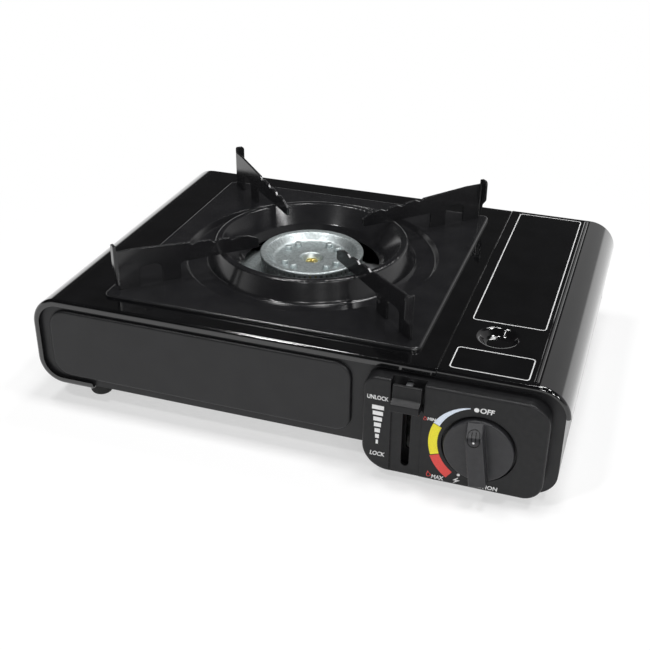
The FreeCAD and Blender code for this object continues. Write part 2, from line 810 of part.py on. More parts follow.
def igniter_cam():
    """Cam on the spindle whose radius grows steadily with the knob's turn."""
    steps = 30
    points = []
    for i in range(steps + 1):
        turn = knob_turn * i / steps
        angle = math.radians(90 - turn)
        radius = cam_radius + cam_lift * turn / knob_turn
        points.append(vec(knob_x + radius * math.cos(angle), cam_y - cam_width / 2,
                          knob_z + radius * math.sin(angle)))
    curve = Part.BSplineCurve()
    curve.interpolate(points)
    hub_left = vec(knob_x - 6.0, cam_y - cam_width / 2, knob_z)
    back = Part.Arc(points[-1], hub_left, points[0]).toShape()
    face = Part.Face(Part.Wire([curve.toShape(), back]))
    cam = face.extrude(vec(0, cam_width, 0))
    return cam.cut(rod(spindle_radius + 0.01, (knob_x, -half_depth, knob_z), (knob_x, 0, knob_z)))


def igniter_body():
    half = igniter_size / 2
    case = box(knob_x - half, knob_x + half, bracket_front - igniter_size, bracket_front, igniter_bottom,
               igniter_top)
    upright = [edge for edge in case.Edges if abs(edge.BoundBox.ZLength - igniter_height) < 1e-6]
    case = case.makeFillet(1.5, upright)
    y = bracket_front - half
    case = case.cut(rod(plunger_radius + running, (knob_x, y, igniter_bottom - 1),
                        (knob_x, y, igniter_top - 4)))
    lead = rod(2.4, (knob_x - half - 3, y, wire_z), (knob_x - half + 1, y, wire_z))
    case = joined(case, lead)
    return case.cut(rod(wire_radius + running, (knob_x - half - 4, y, wire_z),
                        (knob_x - half - 0.5, y, wire_z)))


def igniter_plunger():
    y = bracket_front - igniter_size / 2
    return rod(plunger_radius, (knob_x, y, plunger_tip), (knob_x, y, igniter_top - 4 - cam_lift - 1))


def electrode_place():
    angle = math.radians(electrode_angle)
    return burner_x + electrode_ring * math.cos(angle), burner_y + electrode_ring * math.sin(angle)


def ignition_wire():
    x, y = electrode_place()
    start = knob_x - igniter_size / 2 - 0.5
    low = electrode_bottom - 9.0
    points = [(start, wire_y, wire_z), (wire_x, wire_y, wire_z), (wire_x, wire_cross_y, wire_z),
              (76, wire_cross_y, wire_z), (40, wire_cross_y + 4, low), (x, y, low),
              (x, y, electrode_bottom)]
    return tube_path(points, 4.0, wire_radius)


def electrode_ceramic():
    x, y = electrode_place()
    body = rod(2.6, (x, y, electrode_bottom), (x, y, bracket_top + 5))
    collar = rod(3.6, (x, y, bracket_top), (x, y, bracket_top + 2))
    shape = joined(body, collar)
    return shape.cut(rod(0.85, (x, y, electrode_bottom + 1), (x, y, bracket_top + 6)))


def electrode_rod():
    x, y = electrode_place()
    angle = math.radians(electrode_angle)
    reach = electrode_ring - head_radius - 4.0
    tip_x = x - reach * math.cos(angle)
    tip_y = y - reach * math.sin(angle)
    height = bracket_top + 8.0
    points = [(x, y, electrode_bottom + 1), (x, y, height), (tip_x, tip_y, height)]
    return tube_path(points, 1.6, 0.8)


# Gas way to the burner

def gas_pipe():
    points = [(knob_x - 10.1, pipe_y, pipe_z), (pipe_side_x, pipe_y, pipe_z),
              (pipe_side_x, burner_y, mixing_z),
              (injector_x + injector_length - 5, burner_y, mixing_z)]
    return tube_path(points, 6.0, pipe_radius, pipe_radius - 0.7)


def injector():
    """Brass jet holder with a hexagon and a fine nozzle that points into the mixing tube."""
    corners = []
    for i in range(6):
        angle = math.radians(60 * i)
        corners.append((burner_y + 6.0 * math.cos(angle), mixing_z + 6.0 * math.sin(angle)))
    nut = outline(corners, 0, yz(injector_x + 4)).extrude(vec(6, 0, 0))
    tail = rod(4.2, (injector_x + 10, burner_y, mixing_z),
               (injector_x + injector_length, burner_y, mixing_z))
    nose = Part.makeCone(1.6, 3.1, 2.4, vec(injector_x, burner_y, mixing_z), vec(1, 0, 0))
    neck = rod(3.1, (injector_x + 2.4, burner_y, mixing_z), (injector_x + 4, burner_y, mixing_z))
    shape = joined(nut, tail, nose, neck)
    shape = shape.cut(rod(0.4, (injector_x - 1, burner_y, mixing_z),
                          (injector_x + 9, burner_y, mixing_z)))
    bore_start = injector_x + injector_length - 5.1
    return shape.cut(rod(pipe_radius + running, (bore_start, burner_y, mixing_z),
                         (bore_start + 9, burner_y, mixing_z)))


def injector_bracket():
    """Upright plate that holds the mixing tube's mouth and the jet in line."""
    floor = pan_z + skin
    x = injector_x + 2.4
    half = 13.0
    upright = box(x, x + 1.5, burner_y - half, burner_y + half, floor, mixing_z + 11)
    foot = box(x - 14, x, burner_y - half, burner_y + half, floor, floor + 1.5)
    arm = box(mixing_end_x - 9, x, burner_y - half, burner_y + half, mixing_z - mixing_radius - 3.6,
              mixing_z - mixing_radius - 2.1)
    shape = joined(upright, foot, arm)
    return shape.cut(rod(3.2, (x - 1, burner_y, mixing_z), (x + 3, burner_y, mixing_z)))


def mixing_tube():
    start = burner_x + bowl_floor_radius + 2.0
    tube = ring(mixing_radius, mixing_radius - 1, (start, burner_y, mixing_z),
                (mixing_end_x, burner_y, mixing_z))
    for i in range(4):
        angle = math.radians(90 * i + 45)
        side = (burner_y + 12 * math.cos(angle), mixing_z + 12 * math.sin(angle))
        window = rod(3.6, (mixing_end_x - 9, burner_y, mixing_z), (mixing_end_x - 9, side[0], side[1]))
        tube = tube.cut(window)
    return tube


def air_shutter():
    """Sleeve round the mixing tube's mouth that sets the air."""
    outer = mixing_radius + 1.6
    sleeve = ring(outer, mixing_radius + running, (mixing_end_x - 20, burner_y, mixing_z),
                  (mixing_end_x - 13.5, burner_y, mixing_z))
    tab = box(mixing_end_x - 18, mixing_end_x - 15, burner_y - 2, burner_y + 2, mixing_z + outer - 0.5,
              mixing_z + outer + 5)
    return joined(sleeve, tab)


# Burner

def burner_bracket():
    """Galvanised plate under the burner with a rounded tab on the left and four legs."""
    low = bracket_top - bracket_sheet
    disc = rod(bracket_disc_radius, (burner_x, burner_y, low), (burner_x, burner_y, bracket_top))
    half = bracket_tab_width / 2
    corners = rectangle(bracket_tab_x, burner_x, burner_y - half, burner_y + half)
    tab = outline(corners, [12.0, 12.0, 0, 0], xy(low)).extrude(vec(0, 0, bracket_sheet))
    x, y = electrode_place()
    ear = rod(6.5, (x, y, low), (x, y, bracket_top))
    shape = joined(disc, tab, ear)
    floor = pan_z + skin
    for x0, length, reach in ((bracket_tab_x + 14, 14.0, half), (burner_x + 22, 10.0, 26.0)):
        for side in (-1, 1):
            wall = burner_y + side * reach
            inner = wall - side * bracket_sheet
            leg = box(x0, x0 + length, min(wall, inner), max(wall, inner), floor, low)
            toe_end = wall + side * 9
            toe = box(x0, x0 + length, min(inner, toe_end), max(inner, toe_end), floor,
                      floor + bracket_sheet)
            shape = joined(shape, leg, toe)
    shape = shape.cut(rod(bowl_radius + loose, (burner_x, burner_y, low - 1),
                          (burner_x, burner_y, bracket_top + 1)))
    return shape.cut(rod(2.6 + running, (x, y, low - 1), (x, y, bracket_top + 1)))


def burner_base():
    """Mixing bowl that hangs in the bracket by its flange."""
    floor = bracket_top - bowl_depth
    rest = bracket_top + 0.02
    top = bracket_top + 2.6
    corners = [(3.0, floor), (bowl_floor_radius, floor), (bowl_radius, floor + 14), (bowl_radius, rest),
               (head_radius + 1.6, rest), (head_radius + 1.6, top)]
    face = sheet(corners, [0, 4.0, 5.0, 0.6, 1.6, 0], 1.2, lambda u, v: vec(burner_x + u, burner_y, v))
    bowl = turned(face, burner_x, burner_y)
    socket = rod(mixing_radius + 0.6, (burner_x, burner_y, mixing_z),
                 (burner_x + bowl_radius + 6, burner_y, mixing_z))
    throat = rod(mixing_radius + running, (burner_x, burner_y, mixing_z),
                 (burner_x + bowl_radius + 12, burner_y, mixing_z))
    return bowl.cut(socket.common(throat))


def burner_head():
    """Port ring: a thin ring with a row of upright flame slots."""
    low = bracket_top + 1.22
    high = cap_top - 1.6
    shape = ring(head_radius, head_radius - 1.0, (burner_x, burner_y, low), (burner_x, burner_y, high))
    slot_z = high - port_height - 1.0
    cutter = box(head_radius - 3, head_radius + 2, -port_width / 2, port_width / 2, slot_z,
                 slot_z + port_height)
    cutters = []
    for i in range(port_count):
        blade = cutter.copy()
        blade.rotate(vec(0, 0, 0), vec(0, 0, 1), 360.0 * i / port_count)
        blade.translate(vec(burner_x, burner_y, 0))
        cutters.append(blade)
    return shape.cut(Part.makeCompound(cutters))


def burner_cap():
    """Dished cap with a rolled edge, a centre well and four pairs of raised buttons."""
    floor = cap_top - dish_depth
    well = floor - well_depth
    corners = [(cap_radius, cap_top - 1.6), (cap_radius, cap_top), (cap_radius - 4.5, cap_top - 0.5),
               (dish_floor_radius, floor), (well_radius, floor), (well_radius - 2.0, well), (2.4, well)]
    face = sheet(corners, [0, 1.0, 2.0, 4.0, 1.5, 1.0, 0], 0.8, lambda u,
                 v: vec(burner_x + u, burner_y, v))
    cap = turned(face, burner_x, burner_y)
    for quarter in range(4):
        for side in (-1, 1):
            angle = math.radians(bump_turn + 90 * quarter + side * bump_half_angle)
            x = burner_x + bump_ring_radius * math.cos(angle)
            y = burner_y + bump_ring_radius * math.sin(angle)
            button = rod(bump_radius, (x, y, floor - 0.4), (x, y, floor + bump_height))
            rim = [edge for edge in button.Edges if abs(edge.BoundBox.ZMin - floor - bump_height) < 1e-6]
            cap = cap.fuse(button.makeFillet(0.8, rim))
    return cap


def burner_screw():
    """Brass screw with a cross recess that clamps the cap to the bowl."""
    seat = cap_top - dish_depth - well_depth
    bottom = bracket_top - bowl_depth
    shank = rod(2.3, (burner_x, burner_y, bottom - 2), (burner_x, burner_y, seat + 1))
    head = rod(4.4, (burner_x, burner_y, seat), (burner_x, burner_y, seat + 2.6))
    rim = [edge for edge in head.Edges if abs(edge.BoundBox.ZMin - seat - 2.6) < 1e-6]
    head = head.makeFillet(1.0, rim)
    collar = rod(4.5, (burner_x, burner_y, bottom + 1.2), (burner_x, burner_y, seat - 0.8))
    shape = joined(shank, head, collar)
    for turn in (45, 135):
        slot = box(-3.4, 3.4, -0.6, 0.6, seat + 1.8, seat + 3)
        slot.rotate(vec(0, 0, 0), vec(0, 0, 1), turn)
        slot.translate(vec(burner_x, burner_y, 0))
        shape = shape.cut(slot)
    return shape


# Drip tray and pan supports, which lift off together

def drip_tray():
    """Enamelled square tray with a round basin and a raised collar round the burner."""
    margin_z = deck_z + tray_rise
    basin_z = margin_z - basin_depth
    half = tray_size / 2
    corners = rectangle(tray_x - half, tray_x + half, tray_y - half, tray_y + half)
    outer = outline(corners, tray_corner, xy(deck_z)).extrude(vec(0, 0, tray_rise))
    top_edges = [edge for edge in outer.Edges if abs(edge.BoundBox.ZMin - margin_z) < 1e-6]
    outer = outer.makeFillet(1.4, top_edges)
    wall = tray_sheet
    inner_corners = rectangle(tray_x - half + wall, tray_x + half - wall, tray_y - half + wall,
                              tray_y + half - wall)
    inner = outline(inner_corners, tray_corner - wall,
                    xy(deck_z - 1)).extrude(vec(0, 0, tray_rise + 1 - wall))
    plate = outer.cut(inner)
    plate = plate.cut(rod(basin_radius, (burner_x, burner_y, deck_z - 2),
                          (burner_x, burner_y, margin_z + 2)))
    collar_z = deck_z + collar_height
    corners = [(mouth_radius, deck_z - mouth_drop), (ledge_radius, deck_z + 0.6),
               (collar_radius - 3.0, collar_z),
               (collar_radius + 1.2, collar_z), (collar_foot_radius, basin_z),
               (basin_radius - 3.0, basin_z),
               (basin_radius - 0.8, margin_z), (basin_radius + 0.2, margin_z)]
    bends = [0, 2.5, 1.6, 1.6, 3.0, 2.0, 0.7, 0]
    face = sheet(corners, bends, -tray_sheet, lambda u, v: vec(burner_x + u, burner_y, v))
    dish = turned(face, burner_x, burner_y)
    tray = joined(plate, dish)
    for direction in support_names.values():
        for start, end in support_feet:
            slot = box(start + tab_inset - 0.1, end - tab_inset + 0.1, -support_sheet / 2 - 0.1,
                       support_sheet / 2 + 0.1, deck_z - 1, margin_z + 1)
            tray = tray.cut(about_burner(slot, direction))
    return tray


def about_burner(shape, direction):
    """Turns a shape drawn along +X from the origin to its direction round the burner's axis."""
    shape.rotate(vec(0, 0, 0), vec(0, 0, 1), direction)
    shape.translate(vec(burner_x, burner_y, 0))
    return shape


def support_edge(place):
    """Height of the support's top line: level at the outer end, then falling towards the burner."""
    return deck_z + support_top - support_fall * max(0.0, support_level - place)


def support_outline():
    """Side view of one pan support: distance from the burner's axis, height and corner radius."""
    seat = deck_z + tray_rise
    low = deck_z + support_underside
    arch = deck_z + support_arch_top
    start = support_inner + 8.0
    points = [(support_inner, low - 0.4, 1.2), (support_inner - 0.2, low + 6.0, 2.0),
              (start, support_edge(start), 3.0)]
    for place in notch_positions:
        points.append((place - 4.5, support_edge(place - 4.5), 3.0))
        points.append((place - 0.4, support_edge(place) - notch_depth, 1.1))
        points.append((place + 2.2, support_edge(place + 2.2), 1.0))
    points += [(support_level, support_edge(support_level), 0),
               (support_outer, support_edge(support_outer), 0), (support_outer, seat, 0.6),
               (support_arch_outer, seat, 0.6), (support_arch_outer, arch, 4.0),
               (support_arch_inner, arch, 5.0), (support_arch_inner, seat, 0.6),
               (support_foot_inner, seat, 0.6), (support_foot_inner, low, 3.0)]
    return [point[:2] for point in points], [point[2] for point in points]


def support_ear_outline():
    """Front view of the turned ear at the outer end: reach along the fold and height."""
    tip = deck_z + support_tip
    low = tip - support_ear_height
    return [(0, deck_z + tray_rise + 3), (0, tip), (-support_ear, tip), (-support_ear, low),
            (-2.2, low - 5),
            (-2.2, deck_z + tray_rise + 3)], [0, 2.4, 2.4, 2.0, 3.0, 1.0]


def pan_support(direction):
    """One upright wing with notches on top, an ear at its outer end and tabs through the tray."""
    half = support_sheet / 2
    corners, radii = support_outline()
    blade = outline(corners, radii, lambda u, v: vec(u, -half, v)).extrude(vec(0, support_sheet, 0))
    bend = 1.4
    outer = support_outer
    fold = [(outer - 1, half), (outer + bend + half, half), (outer + bend + half, -support_ear)]
    high = deck_z + support_tip
    strip = sheet(fold, [0, bend + half, 0], -support_sheet, xy(deck_z)).extrude(vec(0, 0, high - deck_z))
    ear_corners, ear_radii = support_ear_outline()
    ear_corners = [(v if v < 0 else half + 0.5, w) for v, w in ear_corners]
    window = outline(ear_corners, ear_radii, yz(outer - 5)).extrude(vec(15, 0, 0))
    strip = strip.common(window)
    trim = box(outer - 5, outer + 0.4, -5, 5, support_edge(outer), high + 1)
    shape = joined(blade, strip.cut(trim))
    seat = deck_z + tray_rise
    under = seat - tray_sheet - 0.05
    for start, end in support_feet:
        stem = box(start + tab_inset, end - tab_inset, -half, half, under - 1.1, seat + 1)
        toe = box(start + tab_inset, end - tab_inset, half - 0.4, half + 3.5, under - 1.1, under)
        shape = joined(shape, stem, toe)
    return about_burner(shape, direction)


# Control panel, knob and lock lever

def box_face(inset, y):
    corners = rectangle(box_left + inset, box_right - inset, box_bottom + inset,
                        deck_z - box_top_drop - inset)
    radii = [17.0 - inset, 8.5 - inset, 14.0 - inset, 12.0 - inset]
    return outline(corners, radii, xz(y))


def lever_slot(low, y0, y1):
    """Slot that the lever's stem slides in."""
    high = stem_bottom + stem_height + end_gap
    return stadium(lever_x, low, high, slot_width, y0, y1)


def control_panel():
    """Moulded housing with the lever's channel and the knob's well."""
    back = panel_front
    outer = box_face(0, back).extrude(vec(0, box_front - back, 0))
    outer = outer.makeFillet(1.6, in_plane(outer, box_front, box_front))
    hollow = box_face(box_wall, back).extrude(vec(0, box_front - back + box_wall, 0))
    pocket_floor = box_front + pocket_depth
    half_pocket = pocket_width / 2
    pocket_low = lever_bottom - 1.0
    keep = box(lever_x - half_pocket - box_wall, lever_x + half_pocket + box_wall, box_front,
               pocket_floor + box_wall,
               pocket_low - box_wall, deck_z)
    well_floor = box_front + knob_well_depth
    keep_well = rod(knob_well_radius + box_wall, (knob_x, box_front, knob_z),
                    (knob_x, well_floor + box_wall, knob_z))
    boss_radius = 4.5
    bosses = []
    for x, z in screw_places():
        bosses.append(rod(boss_radius, (x, box_front, z), (x, back, z)))
    channel_half = channel_width / 2
    keep_channel = box(lever_x - channel_half - box_wall, lever_x + channel_half + box_wall, box_front,
                       box_front + channel_depth + box_wall, 0, deck_z)
    for part in [keep, keep_well, keep_channel] + bosses:
        hollow = hollow.cut(part)
    shape = outer.cut(hollow)
    pocket = box(lever_x - half_pocket, lever_x + half_pocket, box_front - 1, pocket_floor, pocket_low,
                 deck_z)
    channel = box(lever_x - channel_half, lever_x + channel_half, box_front - 1,
                  box_front + channel_depth, 0, deck_z)
    well = rod(knob_well_radius, (knob_x, box_front - 1, knob_z), (knob_x, well_floor, knob_z))
    spindle_hole = rod(spindle_radius + loose, (knob_x, box_front - 1, knob_z),
                       (knob_x, back + 1, knob_z))
    shape = shape.cut(pocket).cut(channel).cut(well).cut(spindle_hole)
    shape = shape.cut(lever_slot(slot_foot, box_front - 1, back + 1))
    for x, z in screw_places():
        shape = shape.cut(rod(1.25, (x, back + 1, z), (x, box_front + 3, z)))
    return shape


def panel_screws():
    shapes = []
    for x, z in screw_places():
        shapes.append(screw(x, panel_back, z, (0, -1, 0), 2.8, 1.8, 1.2, 7.0))
    return Part.makeCompound(shapes)


def control_knob():
    """Round knob with a finger bar that points at the setting."""
    back = box_front + knob_well_depth - slide_gap
    face = back - knob_disc_height
    disc = rod(knob_radius, (knob_x, back, knob_z), (knob_x, face, knob_z))
    disc = disc.makeFillet(1.2, in_plane(disc, face, face))
    front = knob_front
    half = grip_width / 2
    reach = knob_radius - 2.2
    corners = [(face + 1, -reach - 1.6), (front, -reach - 1.0), (front, reach - 5.5),
               (face + 1, reach + 1.8)]
    bar = outline(corners, [0, 1.6, 5.0, 0], lambda u, v: vec(-half, u, v)).extrude(vec(grip_width, 0, 0))
    outer_edges = [edge for edge in bar.Edges if edge.BoundBox.YMax < front + 6]
    bar = bar.makeFillet(1.0, [edge for edge in outer_edges if edge.BoundBox.XLength < 1e-6])
    shape = bar
    shape.rotate(vec(0, 0, 0), vec(0, 1, 0), -off_angle)
    shape.translate(vec(knob_x, 0, knob_z))
    shape = joined(disc, shape)
    socket = rod(spindle_radius + 0.02, (knob_x, back + 1, knob_z), (knob_x, knob_front + 7.9, knob_z))
    return shape.cut(socket)


def lock_lever():
    """Plastic thumb cap of the lock lever, with a ledge to push on."""
    back = box_front + channel_depth - slide_gap
    low = lever_bottom
    corners = [(back, low), (back, low + lever_height), (back - 2.4, low + lever_height),
               (back - 3.4, low + 7.4),
               (back - 8.0, low + 5.4), (back - 8.6, low + 0.6)]
    half = lever_width / 2
    cap = outline(corners, [0, 0.6, 1.0, 2.0, 1.0, 1.0],
                  yz(lever_x - half)).extrude(vec(lever_width, 0, 0))
    return cap.cut(lever_tongue(running))


def lever_tongue(growth):
    """Flat tongue of the steel slider that the thumb cap is pressed on to."""
    tip = box_front + channel_depth - slide_gap - 1.5
    return box(lever_x - 2.0 - growth, lever_x + 2.0 + growth, tip - growth, panel_front,
               stem_bottom - growth, stem_bottom + stem_height + growth)


def lock_slider():
    """Steel slider behind the front panel with the cross pin that drives the fork."""
    guide_front = panel_back + slide_gap
    tongue = lever_tongue(0)
    stem = box(lever_x - 2.0, lever_x + 2.0, panel_front - 0.1, pin_y + 3, stem_bottom,
               stem_bottom + stem_height)
    guide = box(lever_x - 7.0, lever_x + 4.0, guide_front, guide_front + 1.5, stem_bottom, pin_rest_z + 3)
    lug = box(lever_x - 2.0, lever_x + 2.0, guide_front, pin_y + 3, stem_bottom, pin_rest_z + 3)
    pin = rod(pin_radius, (lever_x, pin_y, pin_rest_z), (plate_x + 2.6, pin_y, pin_rest_z))
    return joined(tongue, stem, guide, lug, pin)


def lock_fork():
    """Sliding fork: a slanted slot in its plate turns the lever's drop into a pull on the cartridge."""
    plate = box(plate_x, plate_x + fork_sheet, fork_plate_y[0], fork_plate_y[1], fork_plate_bottom,
                fork_plate_top)
    half = pin_radius + slide_gap
    top_z = pin_rest_z + half
    low_z = pin_rest_z - lever_travel - half
    lean = lambda z: pin_y + (pin_rest_z - z) * cam_slot_lean
    corners = [(lean(top_z) - half, top_z), (lean(top_z) + half, top_z), (lean(low_z) + half, low_z),
               (lean(low_z) - half, low_z)]
    slot = outline(corners, half * 0.8, yz(plate_x - 1)).extrude(vec(4, 0, 0))
    pipe_gap = pipe_radius + 0.8
    notch = box(plate_x - 1, plate_x + 3, pipe_y - pipe_gap, fork_plate_y[1] + 1, pipe_z - pipe_gap,
                pipe_z + pipe_gap)
    plate = plate.cut(slot).cut(notch)
    for y, z in stud_places:
        length = outline([(y - stud_radius - running, z - stud_radius - running),
                          (y - stud_radius - running, z + stud_radius + running),
                          (y + stud_radius + fork_stroke + 0.5, z + stud_radius + running),
                          (y + stud_radius + fork_stroke + 0.5, z - stud_radius - running)], stud_radius,
                          yz(plate_x - 1))
        plate = plate.cut(length.extrude(vec(4, 0, 0)))
    right = cartridge_x - 23.0
    reach = box(plate_x, right, fork_arm_y, fork_arm_y + fork_sheet, fork_arm_z[0], fork_arm_z[1])
    side = box(right - fork_sheet, right, fork_arm_y, fork_y, fork_arm_z[0], fork_arm_z[1])
    span = 22.0
    floor = bay_floor_z + skin + 4.0
    corners = rectangle(cartridge_x - span - 1.5, cartridge_x + span, floor, cartridge_z + 8)
    fork = outline(corners, [2, 2, 2, 2], xz(fork_y)).extrude(vec(0, fork_sheet, 0))
    mouth_low = cartridge_z
    mouth = rod(17.5, (cartridge_x, fork_y - 1, mouth_low), (cartridge_x, fork_y + 3, mouth_low))
    throat = box(cartridge_x - 17.5, cartridge_x + 17.5, fork_y - 1, fork_y + 3, mouth_low, deck_z)
    fork = fork.cut(mouth).cut(throat)
    return joined(plate, reach, side, fork)


def fork_studs():
    """Shoulder studs on the partition that the fork slides on."""
    wall = bay_left_x + 1.9
    shapes = []
    for y, z in stud_places:
        shank = rod(stud_radius, (plate_x - 0.4, y, z), (wall + 0.01, y, z))
        head = rod(stud_radius + 1.6, (plate_x - 1.6, y, z), (plate_x - 0.3, y, z))
        spacer = rod(stud_radius + 1.6, (plate_x + fork_sheet + 0.3, y, z), (wall - skin - 0.02, y, z))
        tail = rod(stud_radius + 1.0, (wall + 0.01, y, z), (wall + 1.0, y, z))
        shapes.append(joined(shank, head, spacer, tail))
    return Part.makeCompound(shapes)


def foot(x, y, seat):
    """Rubber foot with a domed sole and a barbed stem pressed through the pan."""
    sole = rod(foot_radius, (x, y, 0), (x, y, seat))
    under = [edge for edge in sole.Edges if abs(edge.BoundBox.ZMax) < 1e-6]
    sole = sole.makeFillet(min(3.0, seat * 0.4), under)
    stem = rod(foot_stem_radius, (x, y, seat - 0.1), (x, y, seat + skin + 0.1))
    barb = Part.makeCone(foot_head_radius, foot_stem_radius - 0.6, foot_stem_height,
                         vec(x, y, seat + skin + 0.05))
    return joined(sole, stem, barb)


def all_nodes():
    nodes = {
        "body_shell": body_shell(),
        "base_pan": base_pan(),
        "front_panel": front_panel(),
        "back_panel": back_panel(),
        "back_screws": back_screws(),
        "partition": partition(),
        "cartridge_lid": cartridge_lid(),
        "lid_hinge_bracket": hinge_bracket(),
        "lid_hinge_pin": hinge_pin(),
        "cartridge_saddle_front": saddle(-35.0),
        "cartridge_saddle_rear": saddle(80.0),
        "cartridge_spring": cartridge_spring(),
        "heat_plate": heat_plate(),
        "regulator_body": regulator_body(),
        "regulator_diaphragm": regulator_diaphragm(),
        "regulator_cap": regulator_cap(),
        "regulator_bracket": regulator_bracket(),
        "inlet_seal": inlet_seal(),
        "valve_spindle": valve_spindle(),
        "igniter_cam": igniter_cam(),
        "igniter_body": igniter_body(),
        "igniter_plunger": igniter_plunger(),
        "ignition_wire": ignition_wire(),
        "electrode_ceramic": electrode_ceramic(),
        "electrode_rod": electrode_rod(),
        "gas_pipe": gas_pipe(),
        "injector": injector(),
        "injector_bracket": injector_bracket(),
        "mixing_tube": mixing_tube(),
        "air_shutter": air_shutter(),
        "burner_bracket": burner_bracket(),
        "burner_base": burner_base(),
        "burner_head": burner_head(),
        "burner_cap": burner_cap(),
        "burner_screw": burner_screw(),
        "drip_tray": drip_tray(),
        "control_panel": control_panel(),
        "panel_screws": panel_screws(),
        "control_knob": control_knob(),
        "lock_lever": lock_lever(),
        "lock_slider": lock_slider(),
        "lock_fork": lock_fork(),
        "fork_studs": fork_studs(),
    }
    for name, direction in support_names.items():
        nodes[name] = pan_support(direction)
    for name, place in foot_places().items():
        nodes[name] = foot(*place)
    return nodes


def export_all():
    os.makedirs("parts", exist_ok=True)
    for name, shape in all_nodes().items():
        shape.translate(vec(0, centre_shift, 0))
        shape.exportStep("parts/" + name + ".step")
        span = shape.BoundBox
        print("%-26s solids %d valid %s  x %.1f..%.1f  y %.1f..%.1f  z %.1f..%.1f" % (
            name, len(shape.Solids), shape.isValid(), span.XMin, span.XMax, span.YMin, span.YMax,
            span.ZMin, span.ZMax))


export_all()
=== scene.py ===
import bmesh
import bpy
import json
import math
import numpy as np
from mathutils import Matrix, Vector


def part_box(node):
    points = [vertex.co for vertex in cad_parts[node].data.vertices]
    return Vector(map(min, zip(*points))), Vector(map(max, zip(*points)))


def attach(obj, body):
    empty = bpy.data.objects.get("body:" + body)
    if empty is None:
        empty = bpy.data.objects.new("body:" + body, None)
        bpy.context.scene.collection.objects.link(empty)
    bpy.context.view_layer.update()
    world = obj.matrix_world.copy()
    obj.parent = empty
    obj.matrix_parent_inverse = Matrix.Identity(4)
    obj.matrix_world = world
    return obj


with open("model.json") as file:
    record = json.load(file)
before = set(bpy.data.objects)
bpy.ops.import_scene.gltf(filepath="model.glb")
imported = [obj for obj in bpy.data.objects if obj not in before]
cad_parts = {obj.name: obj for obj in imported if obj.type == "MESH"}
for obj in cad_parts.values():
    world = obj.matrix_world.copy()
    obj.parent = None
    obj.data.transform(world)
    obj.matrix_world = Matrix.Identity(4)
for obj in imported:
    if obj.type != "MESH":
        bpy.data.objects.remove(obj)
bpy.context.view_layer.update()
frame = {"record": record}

# Camera: place in metres and the directions of its right and upper sides
FOCAL_MM = 58.0
SENSOR_MM = 36.0
NEAREST = 0.01
CAMERA_AT = (0.2009, -0.6252, 0.3971)
CAMERA_RIGHT = (0.9458, 0.3247, 0.0076)
CAMERA_UP = (-0.1651, 0.4602, 0.8723)

# Studio: heights are degrees above the horizon and bearings are degrees from +Y towards +X. A pair is where
# a change begins and ends. A pale surround stands all round, weaker at the front, under a dim ceiling, and
# a grey wall stands on the right
SURROUND_TOP = (6.0, 13.0)
SURROUND_LEVEL = 1.0
FRONT_BEARING = (115.0, 150.0)
FRONT_LEVEL = 0.3
CEILING_LEVEL = 0.03
WALL_LEVEL = 0.40
WALL_LEFT = (-3.6, -1.0)
WALL_RIGHT = (110.0, 140.0)
WALL_TOP = (34.0, 48.0)

# Floor: it turns plain white between two distances from the stove's middle, in metres
FLOOR_HALF = 40.0
FLOOR_COLOUR = (0.96, 0.96, 0.96, 1)
FLOOR_ROUGHNESS = 0.9
FLOOR_GLOSS = 0.1
FLOOR_WHITE = (0.17, 0.45)
FLOOR_GLOW = 0.5

# Lamps: name, place, height of the point each one faces above the origin, width and length in metres, watts
STOVE_TOP = 0.08
STOVE_FRONT = 0.06
LAMPS = [
    ("top lamp on the left", (-0.55, 0.0, 1.80), STOVE_TOP, (0.34, 0.26), 8),
    ("top lamp in the middle", (0.15, 0.0, 1.90), STOVE_TOP, (0.26, 0.26), 8),
    ("top lamp on the right", (0.85, 0.0, 1.80), STOVE_TOP, (0.34, 0.26), 9),
    ("top lamp behind", (0.30, 0.90, 1.80), STOVE_TOP, (0.40, 0.40), 8),
    ("fill on the left", (0.30, -1.80, 0.95), STOVE_FRONT, (0.24, 0.18), 4.5),
    ("fill in the middle", (0.90, -1.60, 0.90), STOVE_FRONT, (0.18, 0.18), 4.5),
    ("fill on the right", (1.35, -1.25, 0.90), STOVE_FRONT, (0.24, 0.18), 4.5),
    ("key lamp", (-0.50, -0.82, 1.32), STOVE_TOP, (0.12, 0.12), 5),
]

# Real edges are slightly rounded: radius in metres at which they catch light
EDGE_ROUND = 0.0006
EDGE_SAMPLES = 4


# Node trees

def new_material(name):
    """New material, its node tree and its surface shader."""
    material = bpy.data.materials.new(name)
    material.use_nodes = True
    tree = material.node_tree
    shader = tree.nodes["Principled BSDF"]
    return material, tree, shader


def place_on(tree):
    """Coordinates that are fixed to the piece, in metres."""
    return tree.nodes.new("ShaderNodeTexCoord").outputs["Object"]


def noise(tree, scale, detail, rough=0.5):
    """Noise pattern in cycles per metre."""
    pattern = tree.nodes.new("ShaderNodeTexNoise")
    pattern.inputs["Scale"].default_value = scale
    pattern.inputs["Detail"].default_value = detail
    pattern.inputs["Roughness"].default_value = rough
    tree.links.new(place_on(tree), pattern.inputs["Vector"])
    return pattern.outputs["Fac"]


def cells(tree, scale):
    """Flat random value in each cell of a broken-up pattern, as in zinc spangle."""
    pattern = tree.nodes.new("ShaderNodeTexVoronoi")
    pattern.inputs["Scale"].default_value = scale
    tree.links.new(place_on(tree), pattern.inputs["Vector"])
    split = tree.nodes.new("ShaderNodeSeparateColor")
    tree.links.new(pattern.outputs["Color"], split.inputs["Color"])
    return split.outputs["Red"]


